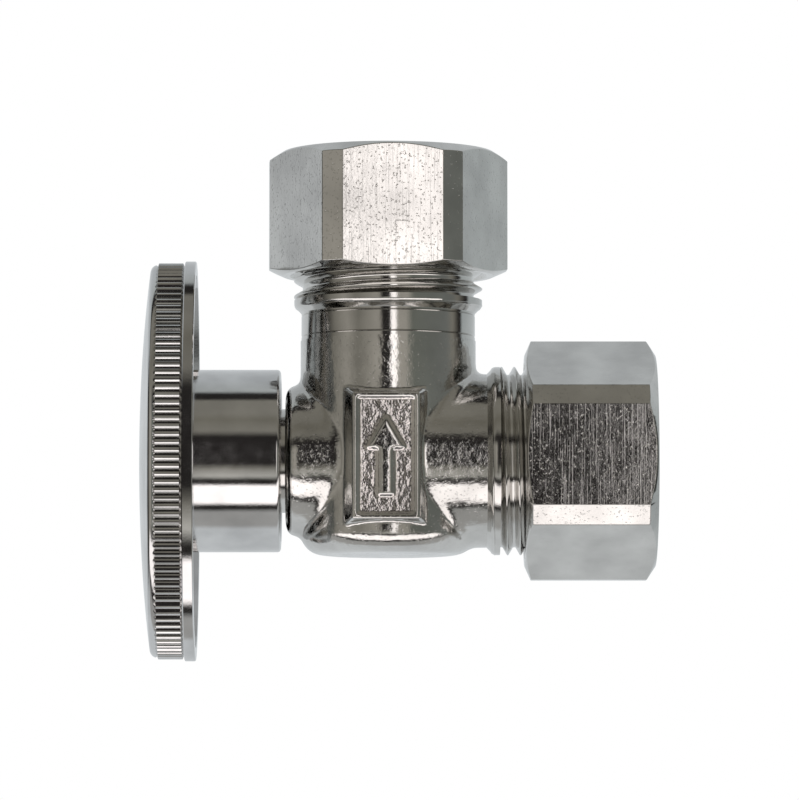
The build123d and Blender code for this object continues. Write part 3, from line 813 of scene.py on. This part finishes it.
    def port(
        self, name: str, thread: Thread, base: float, shoulder: float, mouth: float, stock: float, bore: Profile
    ) -> bpy.types.Object:
        """A threaded port: a collar, a thread with a chamfered end, and its bore.

        Args:
            name: what the piece is called.
            thread: the thread outside.
            base: place of the end that is sunk in the forging.
            shoulder: place where the collar starts.
            mouth: place of the open end.
            stock: radius of the port below its collar.
            bore: profile of the bore from base to mouth, without its points on the axis.

        Returns:
            The port, made along Z.
        """
        crest, root = thread.crest, thread.crest - thread.depth
        port = thread.rod(name, shoulder + 0.2 * MM, mouth + 0.7 * MM)
        grooves = [
            (place + shift, stock - depth)
            for place in self.grooves
            if base < place < shoulder
            for shift, depth in ((-0.1 * MM, 0), (0, 0.12 * MM), (0.1 * MM, 0))
        ]
        blank = [
            (base, stock), *grooves, (shoulder - 0.35 * MM, stock), (shoulder + 0.05 * MM, crest - 0.42 * MM),
            (shoulder + 0.2 * MM, crest - 0.2 * MM), (shoulder + 0.4 * MM, crest - 0.07 * MM),
            (shoulder + 0.65 * MM, crest - 0.02 * MM), (shoulder + self.collar, crest - 0.02 * MM),
        ]
        envelope = [
            (base - MM, 2 * crest), (mouth - 1.2 * MM - crest, 2 * crest), (mouth, root - 0.2 * MM),
        ]
        combine(port, turned("blank", to_axis(blank)), "UNION")
        combine(port, turned("envelope", to_axis(envelope)), "INTERSECT")
        combine(port, turned("bore", to_axis(bore)), "DIFFERENCE")
        return port

    def outlet_neck(self) -> bpy.types.Object:
        """The turned neck above the forged shoulder, with the outlet's thread and tube socket.

        Returns:
            The neck in its place.
        """
        base = self.shoulder - 0.6 * MM
        cone = 2.2 * MM
        mouth, past = self.outlet_mouth, self.outlet_mouth + MM
        bore = [
            (base - 2 * MM, self.outlet_bore), (self.outlet_stop, self.outlet_bore),
            (self.outlet_stop, self.outlet_socket), (mouth - cone, self.outlet_socket),
            (past, self.outlet_socket + cone + MM),
        ]
        start = self.outlet_thread_start
        port = self.port("body_outlet_neck", self.outlet_thread, base, start, mouth, self.neck_radius, bore)
        return smooth(lay(port, Along.OUTLET))

    def inlet_neck(self) -> bpy.types.Object:
        """The inlet's thread and tube socket, with the flare that the sleeve seats in.

        Returns:
            The neck in its place.
        """
        base = self.inlet_thread_start - 1.5 * MM
        flare = 0.9 * MM
        slope = math.tan(math.radians(35))
        stock = self.inlet_radius - 0.02 * MM
        mouth, past = self.inlet_mouth, self.inlet_mouth + MM
        bore = [
            (base - 2 * MM, self.inlet_bore), (self.inlet_stop, self.inlet_bore),
            (self.inlet_stop, self.inlet_socket), (mouth - flare / slope, self.inlet_socket),
            (past, self.inlet_socket + flare + MM * slope),
        ]
        start = self.inlet_thread_start
        port = self.port("body_inlet_neck", self.inlet_thread, base, start, mouth, stock, bore)
        return smooth(lay(port, Along.INLET))

    def bonnet_neck(self) -> bpy.types.Object:
        """The threaded neck that the packing nut screws on, with the packing's room.

        Returns:
            The neck in its place.
        """
        base = self.bonnet_face - 1.5 * MM
        thread = self.neck_thread
        root, stock = thread.crest - thread.depth, thread.crest - 0.02 * MM
        collar = self.bonnet_face + 0.9 * MM
        floor = self.neck_end - self.packing_depth
        neck = thread.rod("body_bonnet_neck", collar, self.neck_end)
        blank = [(base, stock), (collar, stock), (collar + 0.3 * MM, root)]
        bore = [
            (base - MM, self.stem_bore), (floor, self.stem_bore), (floor, self.packing_room),
            (self.neck_end + MM, self.packing_room),
        ]
        combine(neck, turned("blank", to_axis(blank)), "UNION")
        combine(neck, turned("bore", to_axis(bore)), "DIFFERENCE")
        return smooth(lay(neck, Along.STEM))


# ---- Nuts ---------------------------------------------------------------------------------------
@dataclass
class HexNut:
    """A hexagon nut with cut corners, chamfered ends, and a thread and a hole inside.

    Its place, its length, its flats and its corners are those of its node.
    """

    node: str
    along: Along
    thread: Thread
    floor: float
    inside: Profile
    lead: float = 0.4 * MM
    run_out: float = 0.3 * MM
    set_angle: float = 30.0
    end_share: float = 0.97
    near_slope: float = 24.0
    far_slope: float = 33.0
    edge: float = 0.14 * MM

    def __post_init__(self) -> None:
        """Reads the node's sizes."""
        low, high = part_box(self.node)
        self.start, self.end = span(self.node, self.along)
        self.flats = high.y - low.y
        self.corners = high.x - low.x if self.along is Along.OUTLET else high.z - low.z

    def blank(self) -> bpy.types.Object:
        """Makes the solid hexagon with its corners cut, its ends chamfered and its edges eased.

        Returns:
            The blank, made along Z.
        """
        deselect()
        across = 2 * self.flats / math.sqrt(3)
        bpy.ops.mesh.primitive_cylinder_add(
            vertices=6,
            radius=self.flats / math.sqrt(3),
            depth=self.end - self.start,
            location=(0, 0, (self.start + self.end) / 2),
        )
        blank = settle(name_new(f"{self.node}_hexagon"))
        heights = [vertex.co.z for vertex in blank.data.vertices]
        facet = (across - self.corners) * math.tan(math.radians(60))
        edit_only(
            blank,
            Kind.EDGES,
            lambda edge: abs(heights[edge.vertices[0]] - heights[edge.vertices[1]]) > MM,
            lambda: bpy.ops.mesh.bevel(offset_type="WIDTH", offset=facet, segments=1, affect="EDGES"),
        )
        reach = self.corners / 2 + MM
        ring = self.end_share * self.flats / 2
        near = (reach - ring) * math.tan(math.radians(self.near_slope))
        far = (reach - ring) * math.tan(math.radians(self.far_slope))
        cone = [(self.start, ring), (self.start + near, reach), (self.end - far, reach), (self.end, ring)]
        combine(blank, turned("cone", to_axis(cone)), "INTERSECT")
        tidy_normals(blank, 0.003 * MM)
        apply_modifier(
            blank,
            "BEVEL",
            width=self.edge,
            segments=3,
            limit_method="ANGLE",
            angle_limit=math.radians(18),
            use_clamp_overlap=True,
        )
        tidy_normals(blank, 0.002 * MM)
        return blank

    def build(self, body: str) -> None:
        """Makes the nut, threads it and sets it on its body."""
        nut = self.blank()
        root = self.thread.crest + 0.1 * MM
        crest = root - self.thread.depth
        tap = self.thread.rod("tap", self.start - MM, self.floor - self.run_out, grow=0.1 * MM)
        bore = [
            (self.start - MM, root + self.lead + MM), (self.start + self.lead + root - crest, crest),
            (self.floor, crest), *self.inside,
        ]
        combine(nut, turned("bore", to_axis(bore)), "DIFFERENCE")
        combine(nut, tap, "DIFFERENCE")
        settle(nut, Matrix.Rotation(math.radians(self.set_angle), 4, "Z"))
        hand_over(smooth(lay(nut, self.along)), body, NUT, self.node)


def build_nuts(body: ValveBody) -> None:
    """Makes the two tube nuts and the packing nut round the body's threads."""
    end = span("inlet_nut", Along.INLET)[1]
    hole = 8.1375 * MM
    cone = span("inlet_sleeve", Along.INLET)[1] - 1.03 * MM
    taper = [(cone + 0.1 * MM, 9.25 * MM), (cone + 1.6 * MM, hole)]
    mouth = [(end - 0.4 * MM, hole), (end + 0.2 * MM, hole + 0.6 * MM)]
    HexNut("inlet_nut", Along.INLET, body.inlet_thread, cone, taper + mouth).build("inlet_nut")

    end = span("outlet_nut", Along.OUTLET)[1]
    hole = 6.55 * MM
    web = span("outlet_friction_ring", Along.OUTLET)[1] + 0.05 * MM
    mouth = [(web, hole), (end - 0.4 * MM, hole), (end + 0.2 * MM, hole + 0.6 * MM)]
    leaning = 2.6
    nut = HexNut("outlet_nut", Along.OUTLET, body.outlet_thread, web, mouth, set_angle=30 + leaning)
    nut.build("outlet_nut")

    end = span("packing_nut", Along.STEM)[1]
    hole = 3.16 * MM
    web = body.neck_end + 0.2 * MM
    mouth = [(web, hole), (end + MM, hole)]
    sizes = {"lead": 0.2 * MM, "run_out": 0.1 * MM, "edge": 0.1 * MM}
    HexNut("packing_nut", Along.STEM, body.neck_thread, web, mouth, **sizes).build("body")


# ---- Handle -------------------------------------------------------------------------------------
@dataclass
class OvalHandle:
    """The oval handle: a domed face, a ribbed rim, a rear flange, a skirt and a square-holed boss.

    Places are counted from the outlet's axis towards the handle.
    """

    # heights along one rib, from valley to crest and down again
    PATTERN: ClassVar[tuple[float, ...]] = (0.0, 0.5, 0.86, 1.0, 0.86, 0.5)

    ribs: int = 124
    rib_depth: float = 0.3 * MM
    overhang: float = 0.2 * MM
    rear: float = 21.0 * MM
    flange: float = 1.2 * MM
    rib_front: float = 25.2 * MM
    rim: float = 26.0 * MM
    front_round: float = 0.8 * MM
    rim_wall: float = 1.5 * MM
    face_inside: float = 24.5 * MM
    skirt_radius: float = 9.98 * MM
    skirt_wall: float = 1.2 * MM
    boss_radius: float = 4.7 * MM
    boss_end: float = 19.8 * MM
    square: float = 4.7 * MM
    square_floor: float = 24.4 * MM
    recess_radius: float = 3.2 * MM
    recess_depth: float = 1.7 * MM
    screw_hole: float = 1.75 * MM

    def __post_init__(self) -> None:
        """Works out the overall sizes from the frame."""
        low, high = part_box("handle")
        self.half_length = (high.z - low.z) / 2 - self.overhang
        self.half_width = radius_of("handle") - self.overhang
        self.skirt_end, self.top = span("handle", Along.STEM)
        self.count = self.ribs * len(self.PATTERN)
        self.steps = [2 * math.pi * index / self.count for index in range(self.count)]
        self.turns = self.even_turns()

    def even_turns(self) -> list[float]:
        """Finds how to space the points evenly round the oval.

        Returns:
            The angle of each point in the oval's own equation.
        """
        fine = 20 * self.count
        lengths = [0.0]
        for step in range(fine):
            turn = 2 * math.pi * (step + 0.5) / fine
            run = math.hypot(self.half_width * math.sin(turn), self.half_length * math.cos(turn))
            lengths.append(lengths[-1] + run)
        turns, step = [], 0
        for index in range(self.count):
            while lengths[step] < lengths[-1] * index / self.count:
                step += 1
            turns.append(2 * math.pi * step / fine)
        return turns

    def oval(self, inset: float = 0.0, ribbed: bool = False) -> list[Vector]:
        """A ring of points on the oval.

        Args:
            inset: how far it is moved in.
            ribbed: whether it goes in and out with the ribs.

        Returns:
            Its points.
        """
        ring = []
        for index, turn in enumerate(self.turns):
            point = Vector((self.half_width * math.cos(turn), self.half_length * math.sin(turn)))
            out = Vector((self.half_length * math.cos(turn), self.half_width * math.sin(turn)))
            height = self.PATTERN[index % len(self.PATTERN)] if ribbed else 1.0
            ring.append(point - out.normalized() * (inset + self.rib_depth * (1 - height)))
        return ring

    def shrunk(self, share: float, inset: float) -> list[Vector]:
        """A smaller oval on the domed face, which becomes a circle towards its middle.

        Args:
            share: from 0 at the recess to 1 at the edge of the face.
            inset: how far that edge lies inside the ribs' crests.

        Returns:
            Its points.
        """
        length = self.recess_radius + (self.half_length - inset - self.recess_radius) * share
        width = self.recess_radius + (self.half_width - inset - self.recess_radius) * share
        turns = [(1 - share) * even + share * turn for even, turn in zip(self.steps, self.turns)]
        return [Vector((width * math.cos(turn), length * math.sin(turn))) for turn in turns]

    def circle(self, radius: float) -> list[Vector]:
        """A round ring."""
        return [Vector((radius * math.cos(step), radius * math.sin(step))) for step in self.steps]

    def square_ring(self, half: float) -> list[Vector]:
        """A square ring."""
        spokes = self.circle(1)
        return [spoke * half / max(abs(spoke.x), abs(spoke.y)) for spoke in spokes]

    def rings(self) -> list[tuple[float, list[Vector]]]:
        """Lists the rings of the handle's surface in order, round the rim, over the face and back inside.

        Returns:
            Each ring's place and its points.
        """
        back = self.rear + self.flange
        rings = [
            (self.rear, self.oval(self.rim_wall - self.overhang)),
            (self.rear, self.oval(0.1 * MM - self.overhang)),
            (self.rear + 0.1 * MM, self.oval(-self.overhang)),
            (back - 0.1 * MM, self.oval(-self.overhang)),
            (back, self.oval(0.1 * MM - self.overhang)),
            (back + 0.02 * MM, self.oval(self.rib_depth + 0.05 * MM)),
            (back + 0.12 * MM, self.oval(self.rib_depth)),
            (back + 0.25 * MM, self.oval(0, True)),
            (self.rib_front - 0.12 * MM, self.oval(0, True)),
            (self.rib_front, self.oval(self.rib_depth)),
        ]
        for step in range(1, 7):
            angle = math.radians(90) * step / 6
            inset = self.rib_depth * 0.6 + self.front_round * (1 - math.cos(angle))
            place = self.rib_front + (self.rim - self.rib_front) * math.sin(angle)
            rings.append((place, self.oval(inset)))
        edge = self.front_round + self.rib_depth * 0.6
        rise = self.top - self.rim
        for step in range(1, 13):
            share = 1 - step / 12
            place = self.rim + rise * (1 - share**2)
            rings.append((place, self.shrunk(share, edge)))
        recess = self.top - self.recess_depth
        inner = self.skirt_radius - self.skirt_wall
        rings += [
            (self.top - 0.12 * MM, self.circle(self.recess_radius - 0.1 * MM)),
            (recess, self.circle(self.recess_radius - 0.1 * MM)),
            (recess, self.circle(self.screw_hole)),
            (self.square_floor, self.circle(self.screw_hole)),
            (self.square_floor, self.square_ring(self.square / 2)),
            (self.boss_end, self.square_ring(self.square / 2)),
            (self.boss_end, self.circle(self.boss_radius - 0.15 * MM)),
            (self.boss_end + 0.15 * MM, self.circle(self.boss_radius)),
            (self.face_inside - 0.4 * MM, self.circle(self.boss_radius)),
            (self.face_inside, self.circle(self.boss_radius + 0.4 * MM)),
            (self.face_inside, self.circle(inner - 0.4 * MM)),
            (self.face_inside - 0.4 * MM, self.circle(inner)),
            (self.skirt_end + 0.15 * MM, self.circle(inner)),
            (self.skirt_end, self.circle(inner + 0.15 * MM)),
            (self.skirt_end, self.circle(self.skirt_radius - 0.3 * MM)),
            (self.skirt_end + 0.1 * MM, self.circle(self.skirt_radius - 0.1 * MM)),
            (self.skirt_end + 0.3 * MM, self.circle(self.skirt_radius)),
            (self.face_inside - 0.5 * MM, self.circle(self.skirt_radius)),
            (self.face_inside, self.circle(self.skirt_radius + 0.3 * MM)),
            (self.face_inside, self.oval(self.rim_wall + 0.5 * MM)),
            (self.face_inside - 0.5 * MM, self.oval(self.rim_wall)),
        ]
        return rings

    def build(self) -> None:
        """Raises the handle ring by ring, closes it and sets it on the spindle."""
        rings = self.rings()
        deselect()
        bpy.ops.mesh.primitive_circle_add(vertices=self.count, radius=MM, fill_type="NOTHING")
        handle = name_new("oval_handle")
        place_ring(handle, range(self.count), *rings[0])
        for place, ring in rings[1:]:
            start = len(handle.data.vertices)
            bpy.ops.object.mode_set(mode="EDIT")
            bpy.ops.mesh.extrude_edges_move()
            bpy.ops.object.mode_set(mode="OBJECT")
            place_ring(handle, range(start, start + self.count), place, ring)
        last = len(handle.data.vertices) - self.count
        edit_only(
            handle,
            Kind.EDGES,
            lambda edge: max(edge.vertices) < self.count or min(edge.vertices) >= last,
            lambda: bpy.ops.mesh.bridge_edge_loops(),
        )
        tidy_normals(handle)
        hand_over(smooth(lay(handle, Along.STEM), 32), "spindle", HANDLE, "handle")


def place_ring(piece: bpy.types.Object, indices: range, place: float, ring: list[Vector]) -> None:
    """Moves one ring of points to its place and its outline.

    Args:
        piece: the mesh object.
        indices: which of its points make the ring.
        place: their place along Z.
        ring: the outline.
    """
    for index, point in zip(indices, ring):
        piece.data.vertices[index].co = (-point.y, point.x, place)


# ---- Small pieces -------------------------------------------------------------------------------
@dataclass
class SmallPieces:
    """The seals, washers and screws, turned afresh at the sizes of their nodes."""

    inlet_tube: float = 15.875 * MM
    outlet_tube: float = 12.7 * MM
    shank: float = 3.1 * MM

    def build(self) -> None:
        """Makes the round pieces and dresses the nodes that keep their own shape."""
        self.sleeve()
        self.cone_washer()
        tube = self.outlet_tube / 2
        self.ring("friction_ring", "outlet_friction_ring", "outlet_seal", BRASS, Along.OUTLET, tube)
        self.ring("gland_washer", "packing_washer", "body", BRASS, Along.STEM, self.shank)
        self.ring("gland_packing", "packing_ring", "body", PACKING, Along.STEM, self.shank)
        self.handle_screw()
        kept = {"stem": BRASS, "seat_washer": RUBBER, "seat_washer_screw": BRASS, "handle_lock_washer": STEEL}
        for node, finish in kept.items():
            dress(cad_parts[node], finish)
            log.info("%s keeps its own shape, in %s", node, finish.name)

    def ring(self, name: str, node: str, body: str, finish: Finish, along: Along, hole: float) -> None:
        """Makes a flat ring with eased edges, of its node's thickness and diameter.

        Args:
            name: what the piece is called.
            node: its CAD node.
            body: the body that it rides on.
            finish: its finish.
            along: the axis that it is laid on.
            hole: radius of what goes through it.
        """
        start, end = span(node, along)
        radius, bore = radius_of(node), hole + 0.05 * MM
        ease = 0.2 * (end - start)
        profile = [(start, bore), (start, radius), (end, radius), (end, bore)]
        piece = turned(name, rounded(profile, dict.fromkeys(range(4), ease), 3))
        hand_over(smooth(lay(piece, along)), body, finish, node)

    def sleeve(self) -> None:
        """Makes the brass sleeve, tapered at both ends."""
        start, end = span("inlet_sleeve", Along.INLET)
        radius = radius_of("inlet_sleeve")
        bore = self.inlet_tube / 2 + 0.04 * MM
        tip = bore + 0.45 * MM
        taper = (radius - tip) / math.tan(math.radians(35))
        profile = [
            (start, bore), (start, tip), (start + taper, radius),
            (end - taper, radius), (end, tip), (end, bore),
        ]
        piece = turned("sleeve", rounded(profile, dict.fromkeys(range(6), 0.15 * MM), 3))
        hand_over(smooth(lay(piece, Along.INLET)), "inlet_seal", BRASS, "inlet_sleeve")

    def cone_washer(self) -> None:
        """Makes the rubber cone washer under the outlet nut."""
        start, end = span("outlet_cone_washer", Along.OUTLET)
        mouth = span("valve_body", Along.OUTLET)[1]
        radius = radius_of("outlet_cone_washer")
        bore = self.outlet_tube / 2 + 0.04 * MM
        cone = 8.56 * MM
        profile = [
            (start, bore), (start, cone - (mouth - start)), (mouth, cone), (mouth + 0.05 * MM, cone),
            (mouth + 0.05 * MM, radius), (end, radius), (end, bore),
        ]
        piece = turned("cone_washer", rounded(profile, {4: 0.3 * MM, 5: 0.3 * MM}, 4))
        hand_over(smooth(lay(piece, Along.OUTLET)), "outlet_seal", RUBBER, "outlet_cone_washer")

    def handle_screw(self) -> None:
        """Makes the slotted screw in the middle of the handle."""
        start, end = span("handle_screw", Along.STEM)
        head, shank = radius_of("handle_screw"), 1.7 * MM
        seat = end - 1.1 * MM
        profile = to_axis([(start, shank), (seat, shank), (seat, head), (end, head)])
        screw = turned("slotted_screw", rounded(profile, {1: 0.3 * MM, 4: 0.55 * MM}, 5))
        slot = block("slot", (4 * head, 0.8 * MM, 1.1 * MM), (0, 0, end))
        combine(screw, slot, "DIFFERENCE")
        hand_over(smooth(lay(screw, Along.STEM)), "spindle", STEEL, "handle_screw")


# ---- Stage --------------------------------------------------------------------------------------
@dataclass
class Studio:
    """A plain pale floor, soft light from all round and the camera.

    The light is painted round the valve as bands of colour by angle, in degrees.
    """

    PALE: ClassVar[Colour] = (0.66, 0.69, 0.71)
    BEIGE: ClassVar[Colour] = (0.40, 0.38, 0.34)
    OLIVE: ClassVar[Colour] = (0.24, 0.23, 0.20)
    DARK: ClassVar[Colour] = (0.024, 0.022, 0.021)
    BRIGHT: ClassVar[Colour] = (1.7, 1.62, 1.6)
    MID: ClassVar[Colour] = (0.42, 0.42, 0.41)
    NONE: ClassVar[Colour] = (0, 0, 0)
    ALL: ClassVar[Colour] = (1, 1, 1)
    # straight ahead, by the angle up from the front: 90 is above, -90 below and 180 behind
    MIDDLE: ClassVar[list[tuple[float, Colour]]] = [
        (-180, PALE), (-99, PALE), (-92, MID), (-72, MID), (-66, DARK), (-61, DARK), (-57, BRIGHT),
        (-35, BRIGHT), (-31, DARK), (-27, DARK), (-23, (0.56, 0.55, 0.51)), (-12, OLIVE), (-7, DARK),
        (27, DARK), (36, OLIVE), (50, (0.19, 0.18, 0.15)), (60, OLIVE), (78, OLIVE), (82, DARK), (90, DARK),
        (96, (0.5, 0.53, 0.53)), (120, (0.54, 0.57, 0.59)), (180, PALE),
    ]
    # round the horizon, by the angle to the right of the front
    SIDES: ClassVar[list[tuple[float, Colour]]] = [
        (-180, PALE), (-116, PALE), (-110, DARK), (-90, DARK), (-76, OLIVE), (-56, BEIGE), (-40, OLIVE),
        (-16, BEIGE), (-11, BEIGE), (-7, DARK), (2.9, DARK), (3.3, BRIGHT), (10, BRIGHT), (12, BEIGE),
        (24, BEIGE), (32, (0.16, 0.17, 0.15)), (84, (0.19, 0.20, 0.19)), (95, OLIVE), (108, DARK),
        (112, DARK), (117, (0.46, 0.50, 0.51)), (180, PALE),
    ]
    # how much of MIDDLE is seen, by the angle to the side, and by the angle up or down
    SHARE: ClassVar[list[tuple[float, Colour]]] = [
        (-180, NONE), (-7, NONE), (-5, ALL), (2.9, ALL), (3.2, NONE), (180, NONE),
    ]
    STEEP: ClassVar[list[tuple[float, Colour]]] = [
        (-90, ALL), (-22, ALL), (-14, NONE), (14, NONE), (22, ALL), (90, ALL),
    ]

    distance: float = 640 * MM
    elevation: float = -4.3
    lens: float = 263.0
    aim: Vector = field(default_factory=lambda: Vector((OUTLET_X + 1.24 * MM, 0, 6.7 * MM)))
    floor_drop: float = 46 * MM

    def build(self) -> None:
        """Sets up the whole studio."""
        self.camera()
        self.floor()
        self.sky()

    def camera(self) -> None:
        """The camera, looking along +Y and a little upwards."""
        lens = bpy.data.cameras.new("camera")
        lens.lens = self.lens
        lens.sensor_width = 36
        lens.clip_start = 0.01
        lens.clip_end = 20
        camera = bpy.data.objects.new("camera", lens)
        bpy.context.scene.collection.objects.link(camera)
        angle = math.radians(self.elevation)
        back = Vector((0, -math.cos(angle), math.sin(angle)))
        camera.location = self.aim + back * self.distance
        camera.rotation_euler = (-back).to_track_quat("-Z", "Y").to_euler()
        bpy.context.scene.camera = camera

    def floor(self) -> None:
        """A wide pale floor below the valve."""
        deselect()
        bpy.ops.mesh.primitive_plane_add(size=4, location=(OUTLET_X, 0, -self.floor_drop))
        floor = name_new("floor")
        paint = bpy.data.materials.new("pale_floor")
        paint.use_nodes = True
        shader = paint.node_tree.nodes["Principled BSDF"]
        shader.inputs["Base Color"].default_value = (0.8, 0.8, 0.8, 1)
        shader.inputs["Roughness"].default_value = 0.9
        floor.data.materials.append(paint)
        floor.visible_glossy = False

    def sky(self) -> None:
        """Soft light: a pale backdrop behind, a beige room round the sides and softboxes in front."""
        world = bpy.data.worlds.new("studio")
        bpy.context.scene.world = world
        world.use_nodes = True
        nodes, links = world.node_tree.nodes, world.node_tree.links
        nodes.clear()
        away = nodes.new("ShaderNodeTexCoord").outputs["Generated"]
        split = nodes.new("ShaderNodeSeparateXYZ")
        links.new(away, split.inputs["Vector"])

        def maths(operation: str, *values: float | bpy.types.NodeSocket) -> bpy.types.NodeSocket:
            """One maths node.

            Args:
                operation: what it does.
                values: a number or a socket for each of its inputs.

            Returns:
                The result's socket.
            """
            node = nodes.new("ShaderNodeMath")
            node.operation = operation
            for socket, value in zip(node.inputs, values):
                if isinstance(value, (int, float)):
                    socket.default_value = value
                else:
                    links.new(value, socket)
            return node.outputs["Value"]

        def ramp(
            bands: list[tuple[float, Colour]], source: bpy.types.NodeSocket, reach: float = 180
        ) -> bpy.types.NodeSocket:
            """Colours by an angle.

            Args:
                bands: the colour at each angle, with an even change between two.
                source: the angle, from minus reach to reach.
                reach: the largest angle.

            Returns:
                The colour's socket.
            """
            node = nodes.new("ShaderNodeValToRGB")
            share = maths("ADD", maths("DIVIDE", source, 2 * reach), 0.5)
            links.new(share, node.inputs["Fac"])
            stops = node.color_ramp
            while len(stops.elements) > 1:
                stops.elements.remove(stops.elements[-1])
            for index, (angle, colour) in enumerate(bands):
                place = angle / (2 * reach) + 0.5
                stop = stops.elements[0] if index == 0 else stops.elements.new(place)
                stop.position = place
                stop.color = (*colour, 1)
            return node.outputs["Color"]

        front = maths("MULTIPLY", split.outputs["Y"], -1)
        rise = maths("DEGREES", maths("ARCTAN2", split.outputs["Z"], front))
        height = maths("DEGREES", maths("ARCSINE", split.outputs["Z"]))
        wobble = nodes.new("ShaderNodeTexNoise")
        wobble.inputs["Scale"].default_value = 4.0
        wobble.inputs["Detail"].default_value = 4.0
        links.new(away, wobble.inputs["Vector"])
        ragged = maths("MULTIPLY", maths("SUBTRACT", wobble.outputs["Fac"], 0.5), 16.0)
        turn = maths("DEGREES", maths("ARCTAN2", split.outputs["X"], front))
        middle = ramp(self.MIDDLE, maths("ADD", rise, maths("MULTIPLY", ragged, 0.5)))
        sides = ramp(self.SIDES, maths("ADD", turn, maths("MULTIPLY", ragged, 0.04)))
        share = maths("MAXIMUM", ramp(self.SHARE, turn), ramp(self.STEEP, height, 90))
        both = nodes.new("ShaderNodeMix")
        both.data_type = "RGBA"
        links.new(share, both.inputs["Factor"])
        links.new(sides, both.inputs["A"])
        links.new(middle, both.inputs["B"])
        light = nodes.new("ShaderNodeBackground")
        links.new(both.outputs["Result"], light.inputs["Color"])
        plain = nodes.new("ShaderNodeBackground")
        plain.inputs["Color"].default_value = (1, 1, 1, 1)
        path = nodes.new("ShaderNodeLightPath")
        mix = nodes.new("ShaderNodeMixShader")
        out = nodes.new("ShaderNodeOutputWorld")
        links.new(path.outputs["Is Camera Ray"], mix.inputs["Fac"])
        links.new(light.outputs["Background"], mix.inputs[1])
        links.new(plain.outputs["Background"], mix.inputs[2])
        links.new(mix.outputs["Shader"], out.inputs["Surface"])
        bpy.context.scene.view_settings.view_transform = "Standard"


def main() -> None:
    """Builds the studio and the valve, piece by piece."""
    logging.basicConfig(level=logging.INFO, format="%(name)s: %(message)s")
    Studio().build()
    body = ValveBody()
    body.build()
    build_nuts(body)
    OvalHandle().build()
    SmallPieces().build()


if __name__ == "__main__":
    main()
